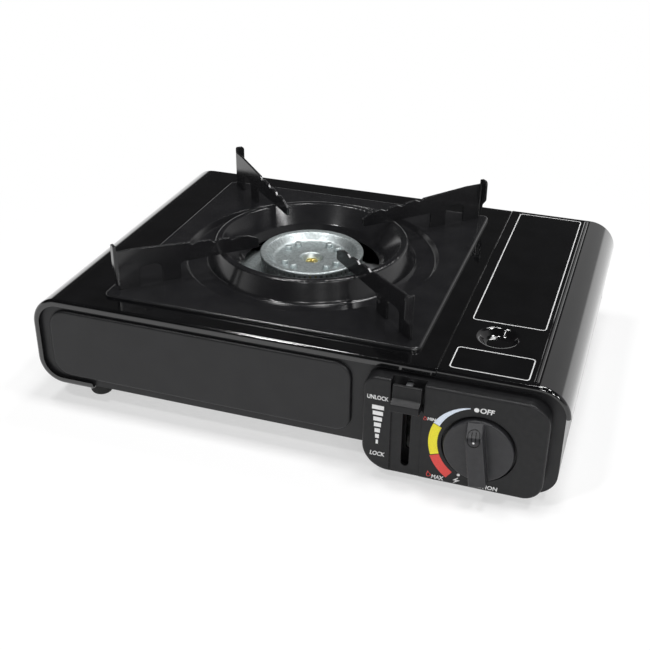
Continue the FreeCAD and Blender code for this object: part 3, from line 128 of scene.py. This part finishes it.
def combine(tree, operation, first, second):
    """Joins two values, each a number or an output, and holds the result between 0 and 1."""
    node = tree.nodes.new("ShaderNodeMath")
    node.operation = operation
    node.use_clamp = True
    for socket, value in zip(node.inputs, (first, second)):
        if isinstance(value, float):
            socket.default_value = value
        else:
            tree.links.new(value, socket)
    return node.outputs["Value"]


def ramp(tree, value, low, high, colour_low, colour_high):
    """Blends two colours while a value goes from low to high."""
    node = tree.nodes.new("ShaderNodeValToRGB")
    first, last = node.color_ramp.elements
    first.position, last.position = low, high
    first.color, last.color = (*colour_low, 1), (*colour_high, 1)
    tree.links.new(value, node.inputs["Fac"])
    return node.outputs["Color"]


def spread(tree, value, low, high):
    """Maps a 0 to 1 value on to a range."""
    node = tree.nodes.new("ShaderNodeMapRange")
    node.inputs["To Min"].default_value = low
    node.inputs["To Max"].default_value = high
    tree.links.new(value, node.inputs["Value"])
    return node.outputs["Result"]


def smooth_range(tree, value, start, end, first, last):
    """Goes smoothly from one level to another while a value goes from start to end."""
    node = tree.nodes.new("ShaderNodeMapRange")
    node.interpolation_type = "SMOOTHSTEP"
    for name, number in (("From Min", start), ("From Max", end), ("To Min", first), ("To Max", last)):
        node.inputs[name].default_value = number
    tree.links.new(value, node.inputs["Value"])
    return node.outputs["Result"]


def bump(tree, shader, height, distance, strength):
    """Fine relief over edges that are softly rounded."""
    edge = tree.nodes.new("ShaderNodeBevel")
    edge.samples = EDGE_SAMPLES
    edge.inputs["Radius"].default_value = EDGE_ROUND
    node = tree.nodes.new("ShaderNodeBump")
    tree.links.new(edge.outputs["Normal"], node.inputs["Normal"])
    node.inputs["Strength"].default_value = strength
    node.inputs["Distance"].default_value = distance
    tree.links.new(height, node.inputs["Height"])
    tree.links.new(node.outputs["Normal"], shader.inputs["Normal"])


# Finishes: scales are in cycles per metre and depths in metres

def painted(name, dark, light, rough, peel, gloss=0.5, coat=0.0):
    """Enamel or paint: slight cloudy colour, uneven gloss and orange peel, and a clear coat on some."""
    cloud_scale, gloss_scale, peel_scale = 60, 140, 900
    cloud_range = (0.3, 0.75)
    peel_depth = 0.00002
    coat_roughness = 0.05
    material, tree, shader = new_material(name)
    clouds = ramp(tree, noise(tree, cloud_scale, 3), *cloud_range, dark, light)
    tree.links.new(clouds, shader.inputs["Base Color"])
    tree.links.new(spread(tree, noise(tree, gloss_scale, 4, 0.6), *rough), shader.inputs["Roughness"])
    shader.inputs["Specular IOR Level"].default_value = gloss
    shader.inputs["Coat Weight"].default_value = coat
    shader.inputs["Coat Roughness"].default_value = coat_roughness
    bump(tree, shader, noise(tree, peel_scale, 2), peel_depth, peel)
    return material


def moulded(name, colour, rough, grain, depth, gloss=0.4):
    """Moulded plastic: a little lighter in places and smoother in others, with a fine grain."""
    tint_scale, gloss_scale = 250, 700
    tint_range = (0.3, 0.7)
    tint_gain, tint_lift = 1.25, 0.002
    smoother, rougher = 0.06, 0.08
    grain_strength = 0.6
    material, tree, shader = new_material(name)
    light = tuple(min(1, c * tint_gain + tint_lift) for c in colour)
    tint = ramp(tree, noise(tree, tint_scale, 3), *tint_range, colour, light)
    tree.links.new(tint, shader.inputs["Base Color"])
    polish = spread(tree, noise(tree, gloss_scale, 2), rough - smoother, rough + rougher)
    tree.links.new(polish, shader.inputs["Roughness"])
    shader.inputs["Specular IOR Level"].default_value = gloss
    bump(tree, shader, noise(tree, grain, 3, 0.65), depth, grain_strength)
    return material


def metal(name, dark, light, rough, scale, depth=0.00001):
    """Bare or plated metal with uneven colour and polish, and relief four times as fine."""
    colour_range = (0.35, 0.68)
    smoother, rougher = 0.08, 0.1
    relief_scale = scale * 4
    relief_strength = 0.5
    material, tree, shader = new_material(name)
    shader.inputs["Metallic"].default_value = 1.0
    pattern = noise(tree, scale, 4, 0.6)
    tree.links.new(ramp(tree, pattern, *colour_range, dark, light), shader.inputs["Base Color"])
    tree.links.new(spread(tree, pattern, rough - smoother, rough + rougher), shader.inputs["Roughness"])
    bump(tree, shader, noise(tree, relief_scale, 3, 0.6), depth, relief_strength)
    return material


def galvanised(name, dark, light, rough, scale):
    """Zinc coat: small spangle cells of uneven brightness and gloss, over broader clouds."""
    spangle_share, cloud_share = 0.55, 0.45
    colour_range = (0.2, 0.75)
    rougher, smoother = 0.06, 0.04
    cloud_scale, relief_scale = scale * 0.3, scale * 2
    relief_depth = 0.00001
    relief_strength = 0.5
    material, tree, shader = new_material(name)
    shader.inputs["Metallic"].default_value = 1.0
    spangle = combine(tree, "MULTIPLY", cells(tree, scale), spangle_share)
    clouds = combine(tree, "MULTIPLY", noise(tree, cloud_scale, 4, 0.65), cloud_share)
    pattern = combine(tree, "ADD", spangle, clouds)
    tree.links.new(ramp(tree, pattern, *colour_range, dark, light), shader.inputs["Base Color"])
    tree.links.new(spread(tree, pattern, rough + rougher, rough - smoother), shader.inputs["Roughness"])
    bump(tree, shader, noise(tree, relief_scale, 3, 0.6), relief_depth, relief_strength)
    return material


def ink(name, colour):
    """Screen-printed ink: a little patchy, with a fine tooth."""
    patch_scale, gloss_scale, tooth_scale = 1500, 800, 5000
    patch_range = (0.35, 0.6)
    polish_range = (0.42, 0.58)
    thin_share = 0.86
    tooth_depth = 0.00001
    tooth_strength = 0.5
    material, tree, shader = new_material(name)
    thin = tuple(c * thin_share for c in colour)
    patches = ramp(tree, noise(tree, patch_scale, 2), *patch_range, thin, colour)
    tree.links.new(patches, shader.inputs["Base Color"])
    tree.links.new(spread(tree, noise(tree, gloss_scale, 2), *polish_range), shader.inputs["Roughness"])
    bump(tree, shader, noise(tree, tooth_scale, 2), tooth_depth, tooth_strength)
    return material


# The stove's finishes, by the names that the record uses
materials = {
    "gloss_enamel": painted("black gloss enamel", dark=(0.0024, 0.0024, 0.0027),
                            light=(0.0045, 0.0045, 0.005), rough=(0.07, 0.12), peel=0.2, gloss=0.36,
                            coat=1.0),
    "satin_panel": painted("black satin paint", dark=(0.010, 0.010, 0.011), light=(0.014, 0.014, 0.015),
                           rough=(0.34, 0.42), peel=0.4, gloss=0.35),
    "tray_enamel": painted("black vitreous enamel", dark=(0.009, 0.009, 0.010), light=(0.014, 0.014, 0.015),
                           rough=(0.13, 0.20), peel=0.35),
    "pan_grey": painted("grey satin paint", dark=(0.16, 0.16, 0.16), light=(0.36, 0.36, 0.36),
                        rough=(0.36, 0.5), peel=0.5),
    "zinc_steel": metal("zinc plated steel", (0.50, 0.51, 0.53), (0.66, 0.67, 0.69), rough=0.32, scale=220),
    "burner_steel": galvanised("galvanised steel", (0.40, 0.44, 0.445), (0.60, 0.65, 0.65), rough=0.46,
                               scale=620),
    "spring_steel": metal("spring steel", (0.40, 0.41, 0.43), (0.52, 0.53, 0.56), rough=0.3, scale=300),
    "black_plastic": moulded("black grained plastic", (0.0065, 0.0065, 0.0072), rough=0.40, grain=2600,
                             depth=0.00003, gloss=0.3),
    "knob_plastic": moulded("black knob plastic", (0.018, 0.018, 0.020), rough=0.36, grain=2000,
                            depth=0.00002),
    "grey_plastic": moulded("grey plastic", (0.20, 0.21, 0.23), rough=0.5, grain=2200, depth=0.00003),
    "brass": metal("brass", (0.88, 0.74, 0.26), (0.98, 0.88, 0.42), rough=0.30, scale=260),
    "cast_zinc": metal("cast zinc", (0.44, 0.44, 0.46), (0.58, 0.58, 0.60), rough=0.48, scale=500,
                       depth=0.00004),
    "aluminium": metal("aluminium", (0.68, 0.69, 0.70), (0.82, 0.83, 0.84), rough=0.34, scale=200),
    "rubber_black": moulded("black rubber", (0.014, 0.014, 0.014), rough=0.72, grain=1400, depth=0.00005),
    "ceramic": moulded("glazed ceramic", (0.72, 0.71, 0.67), rough=0.2, grain=500, depth=0.00001),
    "wire_white": moulded("wire insulation", (0.62, 0.62, 0.60), rough=0.5, grain=900, depth=0.00002),
}
white_ink = ink("white ink", (0.80, 0.80, 0.80))
blue_white_ink = ink("pale blue ink", (0.72, 0.79, 0.90))
yellow_ink = ink("yellow ink", (0.84, 0.74, 0.02))
red_ink = ink("red ink", (0.72, 0.06, 0.05))
# Near-black layer laid in the knob's inset window and between its ribs: painted shade of the recess, not a
# colour of the plastic
painted_recess_shade = moulded("black plastic painted as recess shade", (0.002, 0.002, 0.002), rough=0.3, grain=2000,
                       depth=0.00001, gloss=0.2)


def dress_nodes():
    """Gives every node of the frame the finish that the record names for it."""
    for part in frame["record"]["subparts"]:
        node = bpy.data.objects.get(part["node"])
        finish = materials[part["material_slot"]]
        if node.material_slots:
            for place in node.material_slots:
                place.material = finish
        else:
            node.data.materials.append(finish)


# Surfaces that carry print, from the frame, in metres

spindle_low, spindle_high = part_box("valve_spindle")
KNOB_X = (spindle_low[0] + spindle_high[0]) / 2
KNOB_Z = (spindle_low[2] + spindle_high[2]) / 2
PANEL_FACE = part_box("control_panel")[0][1]
GRIP_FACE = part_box("control_knob")[0][1]
BEAD_HEIGHT = 0.0007
LID_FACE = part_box("cartridge_lid")[1][2] - BEAD_HEIGHT

# The knob's grip leans to its off mark. Its front bends back by an arc that starts this far above the axis
GRIP_LEAN = math.radians(8.0)
BEND_RADIUS = 0.005
BEND_TURN = math.radians(52.46)
BEND_START = 0.01084

# Ink stands this deep on a surface and sinks a tenth of that into it. On the grip it lies a little higher
INK_DEPTH = 0.00006
INK_SINK = 0.1
GRIP_INK = 0.00006
MERGE_DISTANCE = 1e-7


def on_panel(u, v, w):
    """Place on the control panel: u right and v up from the knob's axis, w out of the face."""
    return np.column_stack([KNOB_X + u, PANEL_FACE - w, KNOB_Z + v])


def on_lid(u, v, w):
    """Place on the lid: u right, v back, w up from the lid's face."""
    return np.column_stack([u, v, LID_FACE + w])


def on_grip(u, along, w):
    """Place on the knob's grip: u across, along the face from the foot of its bend, w outwards. The grip's
    front is flat below the bend, then an arc of BEND_RADIUS, then a straight slope back to the disc."""
    turn = np.clip(along / BEND_RADIUS, 0.0, BEND_TURN)
    beyond = np.maximum(along - BEND_RADIUS * BEND_TURN, 0.0)
    below = np.minimum(along, 0.0)
    out = w + GRIP_INK
    back = BEND_RADIUS * (1 - np.cos(turn)) + beyond * np.sin(turn) - out * np.cos(turn)
    rise = BEND_START + below + BEND_RADIUS * np.sin(turn) + beyond * np.cos(turn) + out * np.sin(turn)
    x = KNOB_X + u * math.cos(GRIP_LEAN) - rise * math.sin(GRIP_LEAN)
    z = KNOB_Z + u * math.sin(GRIP_LEAN) + rise * math.cos(GRIP_LEAN)
    return np.column_stack([x, GRIP_FACE + back, z])


# Flat shapes: a strip is a near line, a far line and whether they close into a loop

def bar(u0, v0, u1, v1):
    """Upright rectangle: its lower and upper edges are the two lines."""
    return [(u0, v0), (u1, v0)], [(u0, v1), (u1, v1)], False


def tall_bar(u0, v0, u1, v1, count=12):
    """Upright rectangle with its left and right edges as the lines, in steps that can follow a bend."""
    rise = np.linspace(v0, v1, count)
    left = np.column_stack([np.full(count, u0), rise])
    right = np.column_stack([np.full(count, u1), rise])
    return left, right, False


def disc(u, v, radius, count=24):
    """Round dot: its left and right half circles are the two lines."""
    turn = np.linspace(0, math.pi, count)
    side = np.column_stack([np.sin(turn), np.cos(turn)]) * radius
    return side * (-1, 1) + (u, v), side + (u, v), False


def rounded_frame(u0, v0, u1, v1, corner, line, steps=8):
    """Rounded rectangle drawn as a line: quarter circles joined in a loop, the inner border
    shrunk by the line's width."""
    turn = np.linspace(0, math.pi / 2, steps)
    borders = []
    for inset in (0.0, line):
        round_off = corner - inset
        parts = []
        for quarter, (u, v) in enumerate([(u1, v1), (u0, v1), (u0, v0), (u1, v0)]):
            side_u = -1 if u == u1 else 1
            side_v = -1 if v == v1 else 1
            angle = turn + quarter * math.pi / 2
            parts.append(np.column_stack([u + side_u * corner + round_off * np.cos(angle),
                                          v + side_v * corner + round_off * np.sin(angle)]))
        borders.append(np.concatenate(parts))
    return borders[0], borders[1], True


def in_steps(near, far, loop, count=6):
    """Cuts every straight run of a closed strip into equal steps, so that it can follow a bend."""
    step = np.arange(count).reshape(1, -1, 1) / count
    lines = []
    for line in (near, far):
        ahead = np.roll(line, -1, axis=0)
        lines.append((line[:, None] + (ahead - line)[:, None] * step).reshape(-1, 2))
    return lines[0], lines[1], loop


def band(inner, outer, angles, steps=40):
    """Arc about the knob's axis between two radii, each a number or one per step, with the angles in
    degrees left of the top: a point is the radius times (-sine, cosine) of its angle."""
    turn = np.radians(np.linspace(*angles, steps))
    ray = np.column_stack([-np.sin(turn), np.cos(turn)])
    return ray * np.reshape(inner, (-1, 1)), ray * np.reshape(outer, (-1, 1)), False


def flame(u, v, size, steps=14):
    """Outline of a drop-shaped flame: the half width is a sine of the height to the power 0.7, less towards
    the tip, and the middle sways as a sine of the height."""
    width, sway, line = 0.36 * size, 0.10 * size, 0.11 * size
    thinnest = 0.0002 * size
    rise = np.linspace(0, 1, steps)
    taper = 1.15 - rise * 0.6
    half = width * np.sin(math.pi * rise ** 0.7) * taper
    middle = u + sway * np.sin(math.pi * rise * 1.3)
    height = v + size * (rise - 0.5)
    outer_left = np.column_stack([middle - half, height])
    outer_right = np.column_stack([middle + half, height])
    inner = np.maximum(half - line, thinnest)
    inner_height = np.clip(height, v - size / 2 + line, v + size / 2 - line)
    inner_left = np.column_stack([middle - inner, inner_height])
    inner_right = np.column_stack([middle + inner, inner_height])
    return [(outer_left, inner_left, False), (inner_right, outer_right, False)]


# Printed pieces

def add_piece(name, points, faces, finish, body):
    """Mesh object at the origin that rides on a body of the stove."""
    mesh = bpy.data.meshes.new(name)
    mesh.from_pydata(points.tolist(), [], faces)
    mesh.materials.append(finish)
    piece = bpy.data.objects.new(name, mesh)
    bpy.context.scene.collection.objects.link(piece)
    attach(piece, body)
    return piece


def tidy_normals(piece):
    """Merges doubled points and turns all faces outwards."""
    work = bmesh.new()
    work.from_mesh(piece.data)
    bmesh.ops.remove_doubles(work, verts=work.verts, dist=MERGE_DISTANCE)
    bmesh.ops.recalc_face_normals(work, faces=work.faces)
    work.to_mesh(piece.data)
    work.free()


def printed_strip(near, far, loop):
    """Thin closed layer between two lines of N points each: at every station the section is a rectangle
    near-far wide and INK_DEPTH deep; the ends are capped, or joined when it is a loop."""
    count = len(near)
    flat = np.concatenate([near, far, far, near])
    depth = np.repeat([INK_DEPTH, INK_DEPTH, 0.0, 0.0], count) - INK_DEPTH * INK_SINK
    station = np.arange(count if loop else count - 1)
    ahead = (station + 1) % count
    faces = []
    for side in range(4):
        a, b = side * count, ((side + 1) % 4) * count
        faces += np.column_stack([a + station, b + station, b + ahead, a + ahead]).tolist()
    if not loop:
        faces.append([3 * count, 2 * count, count, 0])
        faces.append([count - 1 + k * count for k in range(4)])
    return flat, depth, faces


def add_print(name, strips, place, finish, body="stove"):
    """One piece of print from several strips, laid on a surface by its place function."""
    points, faces = [], []
    for near, far, loop in strips:
        flat, depth, own = printed_strip(np.array(near, float), np.array(far, float), loop)
        start = sum(len(p) for p in points)
        points.append(place(flat[:, 0], flat[:, 1], depth))
        faces += [[k + start for k in face] for face in own]
    tidy_normals(add_piece(name, np.concatenate(points), faces, finish, body))


def letters(name, words, slant):
    """Flat mesh of words in plain capitals, slightly fattened, as points and faces."""
    fattening = 0.03
    curve_steps = 4
    data = bpy.data.curves.new(name, "FONT")
    data.body = words
    data.size = 1.0
    data.align_x = "CENTER"
    data.align_y = "CENTER"
    data.shear = slant
    data.offset = fattening
    data.resolution_u = curve_steps
    shape = bpy.data.objects.new(name + "_curve", data)
    bpy.context.scene.collection.objects.link(shape)
    bpy.context.view_layer.update()
    mesh = bpy.data.meshes.new_from_object(shape)
    bpy.data.objects.remove(shape)
    points = np.empty(len(mesh.vertices) * 3)
    mesh.vertices.foreach_get("co", points)
    faces = [list(face.vertices) for face in mesh.polygons]
    bpy.data.meshes.remove(mesh)
    return points.reshape(-1, 3)[:, :2], faces


def add_legend(name, words, height, middle, slant, narrow):
    """White legend on the control panel: centred letters scaled to their cap height and narrowed."""
    flat, faces = letters(name, words, slant)
    flat = (flat - (flat.min(0) + flat.max(0)) / 2) * height / np.ptp(flat[:, 1]) * (narrow, 1)
    points = on_panel(flat[:, 0] + middle[0], flat[:, 1] + middle[1], np.full(len(flat), INK_DEPTH))
    piece = add_piece(name, points, faces, white_ink, "stove")
    thicken = piece.modifiers.new("thickness", "SOLIDIFY")
    thicken.thickness = INK_DEPTH * (1 + INK_SINK)
    thicken.offset = -1


# Dial print: radii and places in metres from the knob's axis, angles in degrees left of the top. A dot is its
# place and radius, a flame its middle and height, a legend its name, words, cap height, middle, slant and
# narrowing
DIAL_INNER = 0.0248
DIAL_OUTER = 0.0303
LOW_BAND_TIP = (0.0276, 0.0283)
LOW_BAND_FOOT = (DIAL_INNER + 0.0016, DIAL_OUTER + 0.0002)
HIGH_BAND_OUTER = DIAL_OUTER + 0.0006
LOW_BAND_ANGLES = (14, 65.4)
MIDDLE_BAND_ANGLES = (66, 110)
HIGH_BAND_ANGLES = (111, 144)
OFF_DOT = (-0.0032, 0.0269, 0.0015)
SPARK_DOT = (-0.0106, -0.0212, 0.0010)
SMALL_FLAME = (-0.0331, 0.0147, 0.0030)
LARGE_FLAME = (-0.0291, -0.0247, 0.0043)
BOLT_LEFT = [(-0.0110, -0.0234), (-0.0138, -0.0257), (-0.0119, -0.0258), (-0.0136, -0.0278)]
BOLT_RIGHT = [(-0.0104, -0.0234), (-0.0117, -0.0252), (-0.0094, -0.0251), (-0.0133, -0.0278)]
DIAL_SLANT = 0.12
DIAL_LEGENDS = [
    ("print_off", "OFF", 0.0036, (0.0031, 0.0271), DIAL_SLANT, 1.0),
    ("print_min", "MIN", 0.0021, (-0.0290, 0.0147), DIAL_SLANT, 1.0),
    ("print_max", "MAX", 0.0030, (-0.0231, -0.0261), DIAL_SLANT, 0.85),
    ("print_ignition", "IGNITION", 0.0030, (0.0046, -0.0260), DIAL_SLANT, 1.0),
]


def add_dial_print():
    """Three bands round the knob, the first swelling evenly from its tip, with their legends and signs."""
    steps = 40
    low_inner = np.linspace(LOW_BAND_TIP[0], LOW_BAND_FOOT[0], steps)
    low_outer = np.linspace(LOW_BAND_TIP[1], LOW_BAND_FOOT[1], steps)
    low_band = band(low_inner, low_outer, LOW_BAND_ANGLES, steps)
    middle_band = band(DIAL_INNER, DIAL_OUTER, MIDDLE_BAND_ANGLES)
    high_band = band(DIAL_INNER, HIGH_BAND_OUTER, HIGH_BAND_ANGLES)
    add_print("print_low_flame_band", [low_band], on_panel, blue_white_ink)
    add_print("print_middle_flame_band", [middle_band], on_panel, yellow_ink)
    add_print("print_high_flame_band", [high_band], on_panel, red_ink)
    add_print("print_off_dot", [disc(*OFF_DOT)], on_panel, white_ink)
    for legend in DIAL_LEGENDS:
        add_legend(*legend)
    add_print("print_small_flame", flame(*SMALL_FLAME), on_panel, red_ink)
    add_print("print_large_flame", flame(*LARGE_FLAME), on_panel, red_ink)
    add_print("print_spark_dot", [disc(*SPARK_DOT)], on_panel, white_ink)
    add_print("print_spark", [(BOLT_LEFT, BOLT_RIGHT, False)], on_panel, white_ink)


# Grip print and painted inset shade: u across and the way along the face from the foot of the bend, in metres
WINDOW = (-0.0037, -0.0022, 0.0037, 0.0092)
WINDOW_CORNER = 0.0036
WINDOW_LINE = 0.0005
RIB_PLACES = (-0.0012, 0.0012)
RIB_ENDS = (0.0016, 0.0072)
GRIP_DOT = (0.0, 0.0008, 0.00062)


def add_grip_pointer():
    """Painted shade of the oval inset and its two ribs at the top of the grip, and the white dot that shows
    the setting.
    """
    strips = [in_steps(*rounded_frame(*WINDOW, WINDOW_CORNER, WINDOW_LINE, 10))]
    for u in RIB_PLACES:
        strips.append(tall_bar(u - WINDOW_LINE / 2, RIB_ENDS[0], u + WINDOW_LINE / 2, RIB_ENDS[1]))
    add_print("knob_window_painted_shade", strips, on_grip, painted_recess_shade, "knob")
    add_print("knob_dot", [disc(*GRIP_DOT)], on_grip, white_ink, "knob")


# Lever print: places in metres from the knob's axis, then the width of the first and the last bar
LEVER_BARS = 7
LEVER_MIDDLE = -0.0617
LEVER_TOP = 0.0157
LEVER_FOOT = -0.0090
LEVER_BAR_WIDTH = (0.0074, 0.0014)
LEVER_BAR_HEIGHT = 0.0029
LEVER_LEGENDS = [
    ("print_unlock", "UNLOCK", 0.0030, (-0.0620, 0.0226), 0.0, 0.8),
    ("print_lock", "LOCK", 0.0032, (-0.0612, -0.0177), 0.2, 0.82),
]


def add_lever_print():
    """Bars at even steps that shorten downwards, from the unlocked end to the locked end, and legends."""
    bars = []
    half_height = LEVER_BAR_HEIGHT / 2
    middles = np.linspace(LEVER_TOP, LEVER_FOOT, LEVER_BARS)
    half_widths = np.linspace(*LEVER_BAR_WIDTH, LEVER_BARS) / 2
    for v, half in zip(middles, half_widths):
        bars.append(bar(LEVER_MIDDLE - half, v - half_height, LEVER_MIDDLE + half, v + half_height))
    add_print("print_lever_bars", bars, on_panel, white_ink)
    for legend in LEVER_LEGENDS:
        add_legend(*legend)


# Lid print, in metres: left, front, right and back of each frame
LARGE_FRAME = (0.1035, -0.0486, 0.1499, 0.1294)
SMALL_FRAME = (0.1025, -0.1099, 0.1496, -0.0847)
FRAME_CORNER = 0.0025
FRAME_LINE = 0.0007


def add_lid_print():
    """Two thin empty frames on the lid, a large one behind the finger dimple and a small one before it."""
    strips = [rounded_frame(*sides, FRAME_CORNER, FRAME_LINE) for sides in (LARGE_FRAME, SMALL_FRAME)]
    add_print("print_lid_frames", strips, on_lid, white_ink, "lid")


# Camera and studio

def turned(right, up, away, place):
    """Placing matrix of a thing whose own axes point right, up and away."""
    matrix = Matrix(np.column_stack([right, up, away]).tolist()).to_4x4()
    matrix.translation = place
    return matrix


def add_camera():
    """Camera at the photograph's place, turned by its right, up and backward directions."""
    data = bpy.data.cameras.new("camera")
    data.lens = FOCAL_MM
    data.sensor_width = SENSOR_MM
    data.sensor_fit = "HORIZONTAL"
    data.clip_start = NEAREST
    camera = bpy.data.objects.new("camera", data)
    bpy.context.scene.collection.objects.link(camera)
    right = np.array(CAMERA_RIGHT)
    back = np.cross(right, np.array(CAMERA_UP))
    camera.matrix_world = turned(right, np.cross(back, right), back, CAMERA_AT)
    bpy.context.scene.camera = camera


def add_lamp(name, place, aim_height, size, power):
    """Rectangular lamp that faces a point above the origin, its width level."""
    data = bpy.data.lights.new(name, "AREA")
    data.shape = "RECTANGLE"
    data.size, data.size_y = size
    data.energy = power
    lamp = bpy.data.objects.new(name, data)
    bpy.context.scene.collection.objects.link(lamp)
    back = np.array(place, float) - np.array((0, 0, aim_height), float)
    back /= np.linalg.norm(back)
    right = np.cross((0, 0, 1), back)
    right /= np.linalg.norm(right)
    lamp.matrix_world = turned(right, np.cross(back, right), back, place)


def seen_ray(tree):
    """1 for rays from the camera and for mirrored and refracted ones."""
    path = tree.nodes.new("ShaderNodeLightPath")
    seen = combine(tree, "ADD", path.outputs["Is Camera Ray"], path.outputs["Is Glossy Ray"])
    return combine(tree, "ADD", seen, path.outputs["Is Transmission Ray"])


def add_stage():
    """Pale floor that keeps a soft shadow under the stove and turns plain white farther off."""
    corners = [(-FLOOR_HALF, -FLOOR_HALF, 0), (FLOOR_HALF, -FLOOR_HALF, 0), (FLOOR_HALF, FLOOR_HALF, 0),
               (-FLOOR_HALF, FLOOR_HALF, 0)]
    mesh = bpy.data.meshes.new("floor")
    mesh.from_pydata(corners, [], [(0, 1, 2, 3)])
    floor = bpy.data.objects.new("floor", mesh)
    bpy.context.scene.collection.objects.link(floor)
    material, tree, shader = new_material("pale floor")
    shader.inputs["Base Color"].default_value = FLOOR_COLOUR
    shader.inputs["Roughness"].default_value = FLOOR_ROUGHNESS
    shader.inputs["Specular IOR Level"].default_value = FLOOR_GLOSS
    glow = tree.nodes.new("ShaderNodeEmission")
    mix = tree.nodes.new("ShaderNodeMixShader")
    away = tree.nodes.new("ShaderNodeVectorMath")
    away.operation = "LENGTH"
    tree.links.new(place_on(tree), away.inputs[0])
    beyond = smooth_range(tree, away.outputs["Value"], *FLOOR_WHITE, FLOOR_GLOW, 1.0)
    tree.links.new(combine(tree, "MULTIPLY", beyond, seen_ray(tree)), mix.inputs["Fac"])
    tree.links.new(shader.outputs["BSDF"], mix.inputs[1])
    tree.links.new(glow.outputs["Emission"], mix.inputs[2])
    tree.links.new(mix.outputs["Shader"], tree.nodes["Material Output"].inputs["Surface"])
    floor.data.materials.append(material)


def heights(pair):
    """A pair of heights in degrees as the upward parts of their directions: sines."""
    return [math.sin(math.radians(angle)) for angle in pair]


def bearings(pair):
    """A pair of bearings in radians."""
    return [math.radians(angle) for angle in pair]


def add_world():
    """Pale surround near the horizon that fades into a dim ceiling, and a wall on the right, so that gloss
    black stays black on top and shows light at its curved side. The brighter of the two is taken."""
    world = bpy.data.worlds.new("studio")
    bpy.context.scene.world = world
    world.use_nodes = True
    tree = world.node_tree
    sky = tree.nodes["Background"]
    sky.inputs["Strength"].default_value = 1.0
    split = tree.nodes.new("ShaderNodeSeparateXYZ")
    tree.links.new(tree.nodes.new("ShaderNodeTexCoord").outputs["Generated"], split.inputs["Vector"])
    height = split.outputs["Z"]
    turn = tree.nodes.new("ShaderNodeMath")
    turn.operation = "ARCTAN2"
    tree.links.new(split.outputs["X"], turn.inputs[0])
    tree.links.new(split.outputs["Y"], turn.inputs[1])
    bearing = turn.outputs["Value"]
    either_way = tree.nodes.new("ShaderNodeMath")
    either_way.operation = "ABSOLUTE"
    tree.links.new(bearing, either_way.inputs[0])
    surround = smooth_range(tree, height, *heights(SURROUND_TOP), SURROUND_LEVEL, CEILING_LEVEL)
    front = smooth_range(tree, either_way.outputs["Value"], *bearings(FRONT_BEARING), 1.0, FRONT_LEVEL)
    surround = combine(tree, "MULTIPLY", surround, front)
    left = smooth_range(tree, bearing, *bearings(WALL_LEFT), 0.0, WALL_LEVEL)
    right = smooth_range(tree, bearing, *bearings(WALL_RIGHT), 1.0, 0.0)
    top = smooth_range(tree, height, *heights(WALL_TOP), 1.0, 0.0)
    wall = combine(tree, "MULTIPLY", combine(tree, "MULTIPLY", left, right), top)
    tree.links.new(combine(tree, "MAXIMUM", surround, wall), sky.inputs["Color"])


add_camera()
add_stage()
add_world()
for lamp in LAMPS:
    add_lamp(*lamp)
dress_nodes()
add_dial_print()
add_grip_pointer()
add_lever_print()
add_lid_print()

bpy.context.scene.view_settings.view_transform = "Standard"
